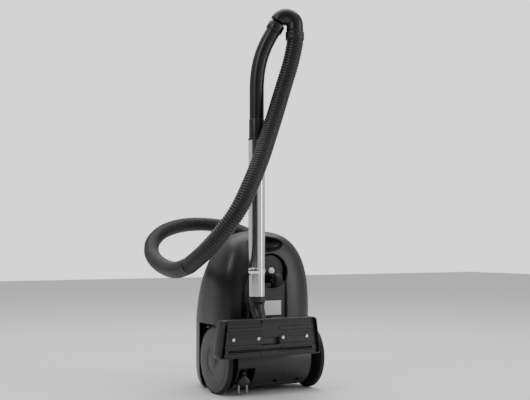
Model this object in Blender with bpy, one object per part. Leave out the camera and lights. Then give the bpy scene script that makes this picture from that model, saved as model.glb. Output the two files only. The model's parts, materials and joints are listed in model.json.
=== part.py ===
"""Bagged canister vacuum cleaner, standing on its rear end with the wand parked on its underside.

Frame: metres, +Z up, +X to the right, -Y towards the underside of the canister, where the wand stands.
The pieces are drawn with the floor at z = 0 and the axis of the two big wheels on the line y = 0,
z = WHEEL_R; the last step moves them all so that the origin is the middle of the rear foot.
"""

import math

import bmesh
import bpy
from mathutils import Matrix, Vector

# ---- driving dimensions, in metres ----
GAP = 0.0003                 # clearance between pieces that touch
WALL = 0.003                 # wall of the moulded shells

WHEEL_R = 0.0714
WHEEL_OUT = 0.120            # outer face of a wheel, from the middle plane
WHEEL_IN = 0.1075            # inner face of a wheel's rim
HUB_IN = 0.0965
AXLE_R = 0.006

CASE_HALF_WIDTH = 0.114
CASE_MID_Y = 0.035           # height of the widest line of the casing
CASE_LOW = 0.081             # from the widest line to the underside
CASE_HIGH = 0.135            # from the widest line to the top cover
NOSE_Z = 0.346
LOW_SHOULDER_Z = 0.170       # the sides start to close towards the nose here
HIGH_SHOULDER_Z = 0.150      # and the top starts to fall here
SEAM_SHARE = 0.36            # seam height as a share of the top's height above the widest line
REAR_Z = 0.150               # rear housing ends here and the bag chamber starts
LID_END_Z = 0.262            # front edge of the lid

DRUM_R = 0.062
DRUM_LEFT = -0.092
DRUM_RIGHT = 0.088

CASTOR_X, CASTOR_Z = 0.002, 0.260
CASTOR_WELL_R = 0.0365
CASTOR_TRAIL = 0.019
ROLLER_R = 0.0135
ROLLER_AT = (CASTOR_X, ROLLER_R - WHEEL_R, CASTOR_Z - CASTOR_TRAIL)
WELL_FLOOR_Y = -0.024

TUBE_X, TUBE_Y = -0.056, -0.076
TUBE_R = 0.0175
TUBE_BOTTOM, TUBE_TOP = 0.209, 0.537
BEAD_Z = 0.262
INNER_R = 0.0150
HANDLE_R = 0.0155

HEAD_X = -0.050
HEAD_TOP, HEAD_BOTTOM = 0.166, 0.089
HEAD_HALF_TOP, HEAD_HALF_BOTTOM = 0.1095, 0.1195
SOLE_Y, HEAD_BACK_Y = -0.128, -0.095
HEAD_AXLE_Y, HEAD_AXLE_Z = -0.098, 0.147
SCREW_Z = 0.1264
SCREW_X = (-0.1355, -0.0785, -0.0215, 0.0355)
MOUTH = ((-0.0725, -0.0280), (0.1130, 0.1270))     # x span, z span

HOSE_R = 0.018
INLET_AT = Vector((0.0, 0.0997, 0.285))            # middle of the inlet, on the front cover
INLET_DIR = Vector((0.0, 0.792, 0.610)).normalized()
HOSE_DIR = Vector((0.796, 0.597, 0.0995)).normalized()
HOSE_START = Vector((0.055, 0.150, 0.300))

HINGE_Y, HINGE_Z = 0.1735, 0.1545
LID_REACH = 0.1232           # the lid and the front cover meet on an arc of this radius about the hinge pin
KNUCKLE_R = 0.0050
LATCH_AT = Vector((0.0, 0.1245, 0.2480))
LATCH_TILT = math.radians(39)
BUTTONS = {"power_button": (-0.055, 0.112), "rewind_button": (0.055, 0.112)}     # (x, z)
BUTTON_R = 0.0138
KNOB_Z = 0.114
MOTOR_AT = Vector((0.035, 0.020, 0.0))
FILTER_PORT_R = 0.036
REEL_Y, REEL_Z = 0.032, 0.084
REEL_LEFT, REEL_RIGHT = -0.086, -0.030
PLUG_X, PLUG_Y = -0.0695, -0.040
PIN_SPACING = 0.019
FOOT_Y = (0.095, 0.120)
LOCK_Z = (0.5560, 0.5680)                           # the telescope's lock, before it is slid down
LOCK_TRAVEL = 0.006
PEDAL_X = -0.056

ELBOW_RADIUS = 0.0186
ELBOW_PIVOT = (0.062, 0.779)                        # (sideways, z) in the plane of the handle's bend
BEND_DIR = Vector((0.873, -0.488, 0.0)).normalized()

# the hose's route from the canister to the handle, split where the second length starts
HOSE_LOWER_ROUTE = (
    (55, 150, 300), (95, 191, 309), (114, 242, 326), (109, 296, 345), (79, 343, 361), (32, 374, 368),
    (-25, 384, 364), (-79, 371, 348), (-119, 339, 323), (-142, 292, 299), (-157, 238, 284),
    (-169, 182, 274), (-179, 125, 267), (-188, 68, 263), (-195, 11, 264), (-196, -46, 274),
)
HOSE_UPPER_ROUTE = (
    (-196, -46, 274), (-185, -95, 302), (-164, -132, 341), (-136, -149, 388), (-108, -147, 439),
    (-79, -134, 488), (-53, -119, 537), (-30, -110, 589), (-10, -107, 644), (6, -112, 699),
    (14.7, -115.5, 756),
)

X_AXIS = Vector((1, 0, 0))
Y_AXIS = Vector((0, 1, 0))
Z_AXIS = Vector((0, 0, 1))


# ---- scene and materials ----
for old in list(bpy.data.objects):
    bpy.data.objects.remove(old, do_unlink=True)


def finish_material(name, color, roughness, metallic=0.0):
    """A Principled BSDF material of one colour."""
    mat = bpy.data.materials.new(name)
    mat.use_nodes = True
    shader = mat.node_tree.nodes["Principled BSDF"]
    shader.inputs["Base Color"].default_value = (*color, 1.0)
    shader.inputs["Roughness"].default_value = roughness
    shader.inputs["Metallic"].default_value = metallic
    return mat


FINISHES = {
    "black": ((0.020, 0.020, 0.022), 0.42, 0.0),
    "grey": ((0.060, 0.060, 0.062), 0.45, 0.0),
    "dark": ((0.012, 0.012, 0.013), 0.55, 0.0),
    "rubber": ((0.015, 0.015, 0.015), 0.80, 0.0),
    "chrome": ((0.70, 0.70, 0.72), 0.08, 1.0),
    "steel": ((0.55, 0.55, 0.56), 0.25, 1.0),
    "paper": ((0.80, 0.77, 0.70), 0.90, 0.0),
    "white": ((0.80, 0.80, 0.80), 0.40, 0.0),
}


def own_material(node, finish):
    """Each node gets a material of its own, made from a shared finish."""
    color, roughness, metallic = FINISHES[finish]
    return finish_material(node + "_" + finish, color, roughness, metallic)


# ---- mesh helpers ----
def put(name, bm, finish=None, sharp=40.0):
    """Turn a bmesh into a named object with smooth shading; without a finish it is a hidden cutter."""
    bmesh.ops.recalc_face_normals(bm, faces=bm.faces)
    mesh = bpy.data.meshes.new(name)
    bm.to_mesh(mesh)
    bm.free()
    mesh.shade_smooth()
    mesh.set_sharp_from_angle(angle=math.radians(sharp))
    obj = bpy.data.objects.new(name, mesh)
    bpy.context.scene.collection.objects.link(obj)
    if finish is None:
        obj.hide_render = True
        obj.display_type = "WIRE"
    else:
        mesh.materials.append(own_material(name, finish))
    return obj


def rings_bm(rings, close_ends=True):
    """A bmesh skin over closed rings of points; a ring of one point is a pole."""
    bm = bmesh.new()
    loops = [[bm.verts.new(p) for p in ring] for ring in rings]
    for a, b in zip(loops, loops[1:]):
        n = max(len(a), len(b))
        for i in range(n):
            j = (i + 1) % n
            if len(a) == 1:
                bm.faces.new((a[0], b[i], b[j]))
            elif len(b) == 1:
                bm.faces.new((a[i], a[j], b[0]))
            else:
                bm.faces.new((a[i], a[j], b[j], b[i]))
    if close_ends:
        for loop in (loops[0], loops[-1]):
            if len(loop) > 2:
                bm.faces.new(loop)
    return bm


def frame_for(axis):
    """Two unit vectors square to the axis and to each other."""
    axis = Vector(axis).normalized()
    side = X_AXIS if abs(axis.x) < 0.9 else Y_AXIS
    u = axis.cross(side).normalized()
    return u, axis.cross(u).normalized()


def ring_at(center, axis, radius, sides, turn=0.0):
    """A round ring of points about an axis; radius 0 gives one point."""
    if radius <= 0:
        return [Vector(center)]
    u, v = frame_for(axis)
    steps = [2 * math.pi * i / sides + turn for i in range(sides)]
    return [Vector(center) + radius * (math.cos(t) * u + math.sin(t) * v) for t in steps]


def turned_bm(origin, axis, profile, sides=32):
    """A solid of revolution; profile is (distance along the axis, radius), closed at both ends or a ring."""
    axis = Vector(axis).normalized()
    rings = [ring_at(Vector(origin) + axis * s, axis, r, sides) for s, r in profile]
    if profile[0][1] > 0 and profile[0] == profile[-1]:
        bm = rings_bm(rings, close_ends=False)
        bmesh.ops.remove_doubles(bm, verts=bm.verts, dist=1e-7)
        return bm
    return rings_bm(rings)


def turned(name, origin, axis, profile, finish=None, sides=32):
    return put(name, turned_bm(origin, axis, profile, sides), finish)


def pipe(name, origin, axis, start, end, inner, outer, finish=None, sides=24):
    """A round pipe with square ends."""
    profile = [(start, outer), (end, outer), (end, inner), (start, inner), (start, outer)]
    return turned(name, origin, axis, profile, finish, sides)


def rod(name, origin, axis, start, end, radius, finish=None, sides=18):
    """A round rod with square ends."""
    return turned(name, origin, axis, [(start, radius), (end, radius)], finish, sides)


def box(name, low, high, finish=None, bevel=0.0, segments=2, turn=None):
    """A box between two corners, with its edges rounded; turn is a matrix applied about the box's middle."""
    low, high = Vector(low), Vector(high)
    bm = bmesh.new()
    bmesh.ops.create_cube(bm, size=1.0)
    bmesh.ops.scale(bm, vec=high - low, verts=bm.verts)
    if bevel > 0:
        bmesh.ops.bevel(bm, geom=bm.edges[:], offset=bevel, segments=segments, profile=0.5, affect="EDGES")
    if turn is not None:
        bmesh.ops.transform(bm, matrix=turn, verts=bm.verts)
    bmesh.ops.translate(bm, vec=(low + high) / 2, verts=bm.verts)
    return put(name, bm, finish)


def prism(name, outline, axis, start, end, finish=None):
    """An outline extruded along X, Y or Z; the outline gives the other two coordinates in order."""
    def place(p, s):
        coords = list(p)
        coords.insert("XYZ".index(axis), s)
        return Vector(coords)
    return put(name, rings_bm([[place(p, start) for p in outline], [place(p, end) for p in outline]]), finish)


def swept(name, path, radii, finish=None, inner=None, sides=24):
    """A round bar or pipe along a path of points, with a radius for each point."""
    path = [Vector(p) for p in path]
    tangents = [(b - a).normalized() for a, b in zip([path[0]] + path[:-1], path[1:] + [path[-1]])]
    u, _ = frame_for(tangents[0])
    outer_rings, inner_rings = [], []
    for i, (point, tangent) in enumerate(zip(path, tangents)):
        u = (u - tangent * u.dot(tangent)).normalized()
        v = tangent.cross(u)
        for rings, radius in ((outer_rings, radii[i]), (inner_rings, inner[i] if inner else 0)):
            rings.append([point + radius * (math.cos(2 * math.pi * k / sides) * u
                                            + math.sin(2 * math.pi * k / sides) * v) for k in range(sides)])
    if not inner:
        return put(name, rings_bm(outer_rings), finish)
    bm = rings_bm(outer_rings + inner_rings[::-1] + outer_rings[:1], close_ends=False)
    bmesh.ops.remove_doubles(bm, verts=bm.verts, dist=1e-7)
    return put(name, bm, finish)


def cut(obj, cutter, operation="DIFFERENCE"):
    """Add an exact Boolean of another object, which becomes a hidden guide."""
    mod = obj.modifiers.new(operation.lower(), "BOOLEAN")
    mod.operation = operation
    mod.solver = "EXACT"
    mod.object = cutter
    cutter.hide_render = True
    cutter.display_type = "WIRE"
    return obj


def join(obj, other):
    return cut(obj, other, "UNION")


def bezier(a, b, c, d, steps):
    """Points on a cubic Bezier curve."""
    a, b, c, d = (Vector(p) for p in (a, b, c, d))
    points = []
    for i in range(steps + 1):
        t = i / steps
        s = 1 - t
        points.append(a * s ** 3 + b * (3 * s * s * t) + c * (3 * s * t * t) + d * t ** 3)
    return points


def through(points, per_span):
    """Points on a smooth Catmull-Rom curve through the given points."""
    points = [Vector(p) for p in points]
    ends = [points[0] * 2 - points[1]] + points + [points[-1] * 2 - points[-2]]
    out = []
    for i in range(1, len(ends) - 2):
        p0, p1, p2, p3 = ends[i - 1:i + 3]
        for k in range(per_span):
            t = k / per_span
            out.append(0.5 * (2 * p1 + (p2 - p0) * t + (2 * p0 - 5 * p1 + 4 * p2 - p3) * t * t
                              + (3 * p1 - p0 - 3 * p2 + p3) * t ** 3))
    out.append(points[-1])
    return out


# ---- the canister's outer form ----
def closing(z, shoulder, power):
    """1 up to the shoulder, then falling to 0 at the nose on a superellipse."""
    if z <= shoulder:
        return 1.0
    share = min((z - shoulder) / (NOSE_Z - shoulder), 1.0)
    return max(1.0 - share ** power, 0.0) ** (1.0 / power)


def rear_rounding(z):
    """How much the rear end's rounding takes off the top and the sides near the floor."""
    if z >= 0.050:
        return 0.0
    return 0.040 * (1.0 - math.sqrt(1.0 - ((0.050 - z) / 0.0505) ** 2))


def case_point(z, angle, inset=0.0):
    """A point of the casing's outer form; angle 0 is +X, a quarter turn is the top cover's crown."""
    width = CASE_HALF_WIDTH * closing(z, LOW_SHOULDER_Z, 2.75) - inset - 0.35 * rear_rounding(z)
    up = math.sin(angle) > 0
    height = CASE_LOW * closing(z, LOW_SHOULDER_Z, 2.75)
    if up:
        height = CASE_HIGH * closing(z, HIGH_SHOULDER_Z, 1.3)
    height = max(height - inset - (rear_rounding(z) if up else 0.0), 0.002)
    width = max(width, 0.002)
    power = 3.0 if up else 3.6
    c, s = math.cos(angle), math.sin(angle)
    x = math.copysign(abs(c) ** (2.0 / power), c) * width
    y = math.copysign(abs(s) ** (2.0 / power), s) * height
    return Vector((x, CASE_MID_Y + y, z))


def seam_angle():
    """The angle at which the casing's section crosses the seam's height."""
    return math.asin(SEAM_SHARE ** 1.5)


def upper_half(z_values, inset=0.0, drop=0.0, steps=16):
    """Closed rings of the part above the seam; drop extends them below it."""
    start = seam_angle()
    rings = []
    for z in z_values:
        span = [start + (math.pi - 2 * start) * i / steps for i in range(steps + 1)]
        arc = [case_point(z, t, inset) for t in span]
        for p in (arc[0], arc[-1]):
            p.y = p.y + GAP / 2
        if drop > 0:
            right, left = arc[0].copy(), arc[-1].copy()
            right.y -= drop
            left.y -= drop
            arc = [right] + arc + [left]
        rings.append(arc)
    return rings


def lower_half(z_values, inset=0.0, rise=0.0, steps=22):
    """Closed rings of the part below the seam; rise extends them above it."""
    start = seam_angle()
    rings = []
    for z in z_values:
        low = [case_point(z, t, inset) for t in (start * 0.999, start * 0.5)]
        low += [case_point(z, -0.02 - (math.pi - 0.04) * i / steps, inset) for i in range(steps + 1)]
        low += [case_point(z, t, inset) for t in (math.pi - start * 0.5, math.pi - start * 0.999)]
        low[0].y -= GAP / 2
        low[-1].y -= GAP / 2
        if rise > 0:
            right, left = low[0].copy(), low[-1].copy()
            right.y += rise
            left.y += rise
            low = [right] + low + [left]
        rings.append(low)
    return rings


NOSE_STEPS = (0.195, 0.220, 0.243, 0.264, 0.283, 0.300, 0.315, 0.328, 0.338, 0.3455)
INNER_NOSE_STEPS = (0.195, 0.220, 0.243, 0.264, 0.283, 0.300, 0.315, 0.328, 0.337)


def make_lower_casing():
    """Lower shell and nose: flat underside with the tube channel, hand grip and castor well."""
    casing = put("lower_casing", rings_bm(lower_half((REAR_Z - 0.0045, 0.170) + NOSE_STEPS)), "black")
    hollow = put("lower_hollow", rings_bm(lower_half((REAR_Z - 0.0015, 0.170) + INNER_NOSE_STEPS, WALL,
                                                     0.006)))
    well_wall = rod("well_wall", (CASTOR_X, 0, CASTOR_Z), Y_AXIS, -0.060, WELL_FLOOR_Y + WALL,
                    CASTOR_WELL_R + WALL, sides=28)
    grip_wall = put("grip_wall", grip_bm(WALL))
    channel_wall = box("channel_wall", (-0.083, -0.060, 0.140), (0.037, -0.0378, 0.325))
    cut(hollow, well_wall)
    cut(hollow, grip_wall)
    cut(hollow, channel_wall)
    cut(casing, hollow)
    cut(casing, box("tube_channel", (-0.080, -0.060, 0.140), (0.034, -0.0410, 0.322), bevel=0.003))
    cut(casing, rod("castor_well", (CASTOR_X, 0, CASTOR_Z), Y_AXIS, -0.070, WELL_FLOOR_Y, CASTOR_WELL_R,
                    sides=28))
    cut(casing, put("grip_scoop", grip_bm(0.0)))
    cut(casing, rod("filter_window", MOTOR_AT, Z_AXIS, 0.140, 0.160, FILTER_PORT_R, sides=20))
    cut(casing, rod("pivot_hole", (CASTOR_X, 0, CASTOR_Z), Y_AXIS, -0.040, 0.0, 0.0043, sides=16))
    cut(casing, rod("inlet_relief", INLET_AT, INLET_DIR, -0.060, 0.030, 0.0212, sides=24))


def grip_bm(grow):
    """The hand grip's scoop under the nose, an ellipsoid pressed up into the shell."""
    bm = bmesh.new()
    bmesh.ops.create_uvsphere(bm, u_segments=22, v_segments=10, radius=1.0)
    bmesh.ops.scale(bm, vec=(0.044 + grow, 0.034 + grow, 0.0185 + grow), verts=bm.verts)
    bmesh.ops.rotate(bm, matrix=Matrix.Rotation(math.radians(-12), 3, "X"), verts=bm.verts)
    bmesh.ops.translate(bm, vec=(-0.003, -0.025, 0.3195), verts=bm.verts)
    return bm


def lid_arc(name, radius):
    """The round bar about the hinge pin on which the lid's front edge swings."""
    return rod(name, (0, HINGE_Y, HINGE_Z), X_AXIS, -0.160, 0.160, radius, sides=96)


def make_front_cover():
    """Fixed cover of the nose, which holds the hose inlet."""
    steps = (0.223, 0.243, LID_END_Z, 0.275, 0.290, 0.304, 0.317, 0.329, 0.338, 0.3455)
    cover = put("front_cover", rings_bm(upper_half(steps)), "black")
    inner = (0.221, 0.243, LID_END_Z, 0.275, 0.290, 0.304, 0.317, 0.329)
    cut(cover, put("front_hollow", rings_bm(upper_half(inner, WALL, 0.012))))
    cut(cover, lid_arc("front_cover_arc", LID_REACH + GAP))
    cut(cover, rod("inlet_hole", INLET_AT, INLET_DIR, -0.060, 0.030, 0.0208, sides=32))


def make_lid():
    """Hinged cover over the dust bag, with two hinge knuckles and the latch's window."""
    steps = (REAR_Z + GAP, 0.166, 0.184, 0.203, 0.223, 0.243, LID_END_Z, 0.275)
    lid = put("lid", rings_bm(upper_half(steps)), "black")
    inner = (REAR_Z + WALL, 0.166, 0.184, 0.203, 0.223, 0.243, LID_END_Z, 0.277)
    cut(lid, put("lid_hollow", rings_bm(upper_half(inner, WALL, 0.012))))
    cut(lid, lid_arc("lid_arc", LID_REACH), "INTERSECT")
    for side, name in ((-1, "left"), (1, "right")):
        join(lid, box("lid_arm_" + name, (side * 0.020 - 0.008, 0.1665, REAR_Z + 0.0016),
                      (side * 0.020 + 0.008, 0.1765, REAR_Z + 0.009)))
    cut(lid, box("knuckle_relief", (-0.0120, HINGE_Y - KNUCKLE_R - GAP, 0.140), (0.0120, 0.190, 0.1604)))
    cut(lid, rod("lid_pin_hole", (0, HINGE_Y, HINGE_Z), X_AXIS, -0.035, 0.035, 0.0022, sides=16))
    window = Vector((0.0153, 0.02, 0.0073))
    cut(lid, box("latch_window", LATCH_AT - window, LATCH_AT + window,
                 turn=Matrix.Rotation(LATCH_TILT, 4, "X")))
    cut(lid, rod("holder_relief", INLET_AT, INLET_DIR, -0.060, 0.030, 0.0212, sides=24))


def make_rear_cover():
    """Fixed cover over the motor and the cord reel, closed at the end that the cleaner stands on."""
    steps = (0.006, 0.011, 0.018, 0.029, 0.048, 0.100, REAR_Z - GAP)
    cover = put("rear_cover", rings_bm(upper_half(steps)), "black")
    inner = (0.009, 0.012, 0.018, 0.029, 0.048, 0.100, REAR_Z - WALL)
    cut(cover, put("rear_hollow", rings_bm(upper_half(inner, WALL, 0.012))))
    for name, (x, z) in BUTTONS.items():
        cut(cover, rod(name + "_hole", (x, 0, z), Y_AXIS, 0.140, 0.190, BUTTON_R + 0.0005, sides=20))
    cut(cover, rod("knob_hole", (0, 0, KNOB_Z), Y_AXIS, 0.140, 0.190, 0.0045, sides=16))
    cut(cover, box("exhaust_window", (-0.0403, 0.150, 0.0497), (0.0403, 0.190, 0.0823)))
    join(cover, box("knuckle_arm", (-0.0115, HINGE_Y - 0.0043, 0.1400), (0.0115, HINGE_Y + 0.0040, 0.1530)))
    join(cover, rod("knuckle", (0, HINGE_Y, HINGE_Z), X_AXIS, -0.0115, 0.0115, KNUCKLE_R, sides=20))
    cut(cover, rod("knuckle_hole", (0, HINGE_Y, HINGE_Z), X_AXIS, -0.030, 0.030, 0.0022, sides=16))


def drum_outline(inset, top, front):
    """Side outline (y, z) of the rear housing: round towards the underside, open towards the rear cover."""
    r = DRUM_R - inset
    points = []
    for i in range(15):
        t = math.radians(-90 - 140 * i / 14)
        points.append((r * math.cos(t), WHEEL_R + r * math.sin(t)))
    points.append((-0.046 + inset, front - 0.016))
    points.append((-0.046 + inset, front))
    points.append((top, front))
    points.append((top, WHEEL_R - r))
    return points


def make_rear_drum():
    """Round rear housing between the wheels, with the recess for the parked plug."""
    drum = prism("rear_drum", drum_outline(0, 0.0815, REAR_Z - 0.0048), "X", DRUM_LEFT, DRUM_RIGHT, "black")
    hollow = prism("drum_hollow", drum_outline(WALL, 0.100, REAR_Z - 0.0078), "X", DRUM_LEFT + WALL,
                   DRUM_RIGHT - WALL)
    cut(hollow, box("recess_wall", (-0.100, -0.080, -0.010), (-0.0475, -0.0225, 0.0610)))
    cut(drum, hollow)
    cut(drum, box("plug_recess", (-0.0885, -0.080, -0.010), (-0.0500, -0.0255, 0.0580), bevel=0.002))
    cut(drum, rod("cord_hole", (PLUG_X, PLUG_Y, 0), Z_AXIS, 0.050, 0.070, 0.0040, sides=16))
    cut(drum, rod("filter_port", MOTOR_AT, Z_AXIS, 0.130, 0.160, FILTER_PORT_R, sides=20))
    for x in (0.007, 0.063):
        direction = Vector((0, -0.66, -0.75)).normalized()
        cut(drum, rod("screw_pocket_%d" % (x * 1000), Vector((x, 0, WHEEL_R)) + direction * 0.055, direction,
                      0.0, 0.020, 0.0034, sides=14))
    for side, end in ((-1, DRUM_LEFT), (1, DRUM_RIGHT)):
        cut(drum, rod("axle_hole_%d" % side, (end, 0, WHEEL_R), X_AXIS, -0.010, 0.010, AXLE_R + GAP,
                      sides=20))


def make_rear_foot():
    """Rubber bar on the rear end that the parked cleaner stands on, with the two wheels."""
    box("rear_foot", (-0.070, FOOT_Y[0], 0.0), (0.070, FOOT_Y[1], 0.0057), "rubber", bevel=0.0012, segments=1)


# ---- wheels and castor ----
def make_wheels():
    """Two big wheels: domed disc, raised hub, dark tyre, and the stub axle that each turns on."""
    for side, name in ((-1, "left"), (1, "right")):
        axis = X_AXIS * side
        at = (0, 0, WHEEL_R)
        disc = [(WHEEL_OUT + 0.0020, 0.0), (WHEEL_OUT + 0.0018, 0.012), (WHEEL_OUT - 0.0012, 0.020),
                (WHEEL_OUT - 0.0020, 0.026), (WHEEL_OUT + 0.0002, 0.045), (WHEEL_OUT - 0.0008, 0.060),
                (WHEEL_OUT - 0.0030, 0.0675), (WHEEL_OUT - 0.0060, 0.0685), (WHEEL_IN, 0.0685),
                (WHEEL_IN, 0.0655), (WHEEL_OUT - 0.0070, 0.0640), (WHEEL_OUT - 0.0060, 0.0200),
                (HUB_IN, 0.0140),
                (HUB_IN, AXLE_R + GAP), (0.1125, AXLE_R + GAP), (0.1125, 0.0)]
        turned(name + "_wheel", at, axis, disc, "grey", sides=28)
        t0, t1 = WHEEL_IN, WHEEL_OUT - 0.0042
        tyre = [(t0, 0.0688), (t0, WHEEL_R - 0.001), (t0 + 0.001, WHEEL_R), (t1 - 0.001, WHEEL_R),
                (t1, WHEEL_R - 0.0012), (t1, 0.0688), (t0, 0.0688)]
        turned(name + "_tyre", at, axis, tyre, "rubber", sides=28)
        inner_end = -DRUM_LEFT if side < 0 else DRUM_RIGHT
        axle = [(inner_end - 0.0025, AXLE_R), (0.1120, AXLE_R)]
        turned(name + "_axle", at, axis, axle, "steel", sides=18)


def make_castor():
    """Castor under the nose: swivel disc with its fork, white pivot pin, roller and roller axle."""
    at = (CASTOR_X, 0, CASTOR_Z)
    low = WELL_FLOOR_Y - 0.0005
    profile = [(low, 0.0047), (low, 0.0320), (low - 0.0050, 0.0335), (low - 0.0065, 0.0325),
               (low - 0.0075, 0.0140), (low - 0.0100, 0.0110), (low - 0.0100, 0.0047), (low, 0.0047)]
    disc = turned("castor_disc", at, Y_AXIS, profile, "dark", sides=22)
    cut(disc, box("disc_chord", (-0.05, -0.050, CASTOR_Z - 0.050), (0.05, low - 0.0035, CASTOR_Z - 0.0235)))
    _, roller_y, roller_z = ROLLER_AT
    for side, name in ((-1, "left"), (1, "right")):
        x = CASTOR_X + side * 0.0105
        join(disc, box("fork_" + name, (x - 0.0018, roller_y - 0.006, roller_z - 0.007),
                       (x + 0.0018, low - 0.004, roller_z + 0.010), bevel=0.001, segments=1))
    cut(disc, box("roller_slot", (CASTOR_X - 0.0085, -0.080, roller_z - 0.0148),
                  (CASTOR_X + 0.0085, low + 0.002, roller_z + 0.0125)))
    cut(disc, rod("fork_hole", (CASTOR_X, roller_y, roller_z), X_AXIS, -0.020, 0.020, 0.0021, sides=14))
    pin = [(0.0, 0.0), (0.0, 0.0055), (-0.003, 0.0070), (-0.0045, 0.0070), (-0.0050, 0.0040),
           (-0.0190, 0.0040),
           (-0.0190, 0.0)]
    turned("castor_pivot", (CASTOR_X, low - 0.0150, CASTOR_Z), -Y_AXIS, pin, "white", sides=18)
    center = ROLLER_AT
    pipe("castor_roller", center, X_AXIS, -0.0072, 0.0072, 0.0024, ROLLER_R, "rubber", sides=20)
    rod("castor_axle", center, X_AXIS, -0.0124, 0.0124, 0.0018, "steel", sides=14)


# ---- inside the canister ----
def make_motor():
    """Suction motor with its shaft, fan and front seal."""
    at = MOTOR_AT
    body = [(0.036, 0.0), (0.036, 0.020), (0.042, 0.034), (0.060, 0.036), (0.098, 0.036), (0.100, 0.046),
            (0.112, 0.046), (0.112, 0.006), (0.120, 0.006), (0.120, 0.003), (0.136, 0.003), (0.136, 0.0)]
    turned("motor", at, Z_AXIS, body, "steel", sides=18)
    fan = [(0.1205, 0.0034), (0.1205, 0.042), (0.1225, 0.042), (0.1340, 0.022), (0.1340, 0.0034),
           (0.1205, 0.0034)]
    turned("motor_fan", at, Z_AXIS, fan, "steel", sides=18)
    pipe("motor_seal", at, Z_AXIS, 0.1365, 0.1414, 0.037, 0.046, "rubber", sides=20)
    rod("motor_filter", at, Z_AXIS, REAR_Z - 0.0012, REAR_Z + 0.006, 0.044, "white", sides=24)


def make_reel():
    """Cord reel on its axle, with the wound mains cord."""
    at = (0, REEL_Y, REEL_Z)
    spool = [(REEL_LEFT, 0.0053), (REEL_LEFT, 0.043), (REEL_LEFT + 0.002, 0.043), (REEL_LEFT + 0.002, 0.018),
             (REEL_RIGHT - 0.002, 0.018), (REEL_RIGHT - 0.002, 0.043), (REEL_RIGHT, 0.043),
             (REEL_RIGHT, 0.0053),
             (REEL_LEFT, 0.0053)]
    turned("cord_reel", at, X_AXIS, spool, "grey", sides=20)
    pipe("cord_winding", at, X_AXIS, REEL_LEFT + 0.002 + GAP, REEL_RIGHT - 0.002 - GAP, 0.018 + GAP, 0.0385,
         "dark", sides=20)
    rod("reel_axle", at, X_AXIS, DRUM_LEFT + WALL + GAP, REEL_RIGHT + 0.006, 0.005, "steel", sides=18)


def make_bag():
    """Dust bag on its holder plate, at the inner end of the hose inlet."""
    box("dust_bag", (-0.080, -0.010, 0.162), (0.080, 0.085, 0.232), "paper", bevel=0.018, segments=3)
    plate_at = INLET_AT - INLET_DIR * 0.0365
    up = Vector((0, -INLET_DIR.z, INLET_DIR.y))
    bm = bmesh.new()
    bmesh.ops.create_cube(bm, size=1.0)
    bmesh.ops.scale(bm, vec=(0.084, 0.003, 0.054), verts=bm.verts)
    bmesh.ops.transform(bm, matrix=Matrix((X_AXIS, INLET_DIR, up)).transposed().to_4x4(), verts=bm.verts)
    bmesh.ops.translate(bm, vec=plate_at + up * 0.002, verts=bm.verts)
    plate = put("bag_holder", bm, "grey")
    cut(plate, rod("holder_hole", INLET_AT, INLET_DIR, -0.060, 0.0, 0.0208, sides=28))


def make_inlet():
    """Inlet pipe in the front cover, the elbow pushed into it, and the cuff that turns on the elbow."""
    profile = [(-0.045, 0.0175), (-0.045, 0.0205), (0.0030, 0.0205), (0.0030, 0.0260), (0.0060, 0.0250),
               (0.0060, 0.0175), (-0.045, 0.0175)]
    turned("inlet_pipe", INLET_AT, INLET_DIR, profile, "dark", sides=22)
    mouth = HOSE_START - HOSE_DIR * 0.026
    out = INLET_AT + INLET_DIR * 0.0065
    bend = bezier(out + INLET_DIR * 0.004, out + INLET_DIR * 0.020, mouth - HOSE_DIR * 0.020,
                  mouth - HOSE_DIR * 0.004, 7) + [mouth]
    path = [INLET_AT - INLET_DIR * 0.020, out - INLET_DIR * 0.0002, out] + bend
    radii = [0.0171, 0.0171, 0.0195] + [0.0195] * len(bend)
    swept("inlet_elbow", path, radii, "dark", inner=[0.0145] * len(path), sides=16)
    pipe("lower_cuff", mouth, HOSE_DIR, GAP, 0.030, HOSE_R + 0.0009, 0.0212, "dark", sides=22)


def button_crown(x, z):
    """The height (y) of the top cover at a place on its crown."""
    return case_point(z, math.acos((abs(x) / CASE_HALF_WIDTH) ** 1.5)).y


def make_controls():
    """Two push buttons, the suction knob, the exhaust grille and the lid's latch."""
    for name, (x, z) in BUTTONS.items():
        crown = button_crown(x, z)
        stem = [(crown - 0.012, 0.0), (crown - 0.012, BUTTON_R), (crown + 0.0030, BUTTON_R),
                (crown + 0.0045, BUTTON_R - 0.0016), (crown + 0.0050, 0.0)]
        turned(name, (x, 0, z), Y_AXIS, stem, "grey", sides=20)
    crown = CASE_MID_Y + CASE_HIGH
    knob = [(crown - 0.008, 0.0), (crown - 0.008, 0.0040), (crown + 0.0006, 0.0040), (crown + 0.0006, 0.0155),
            (crown + 0.0110, 0.0140), (crown + 0.0120, 0.0125), (crown + 0.0120, 0.0)]
    dial = turned("suction_knob", (0, 0, KNOB_Z), Y_AXIS, knob, "grey", sides=22)
    cut(dial, box("knob_mark", (-0.0009, crown + 0.0112, KNOB_Z + 0.003),
                  (0.0009, crown + 0.020, KNOB_Z + 0.013)))
    grille = box("exhaust_grille", (-0.040, crown - 0.0040, 0.050), (0.040, crown - 0.0005, 0.082), "dark",
                 bevel=0.0008, segments=1)
    for i in range(7):
        x = -0.033 + 0.011 * i
        cut(grille, box("grille_slot_%d" % i, (x - 0.0030, crown - 0.010, 0.054),
                        (x + 0.0030, crown + 0.005, 0.078)))
    half = Vector((0.015, 0.0060, 0.0070))
    box("lid_latch", LATCH_AT - half, LATCH_AT + half, "grey", bevel=0.0012, segments=1,
        turn=Matrix.Rotation(LATCH_TILT, 4, "X"))
    rod("lid_hinge_pin", (0, HINGE_Y, HINGE_Z), X_AXIS, -0.0275, 0.0275, 0.0020, "steel", sides=14)


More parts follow.
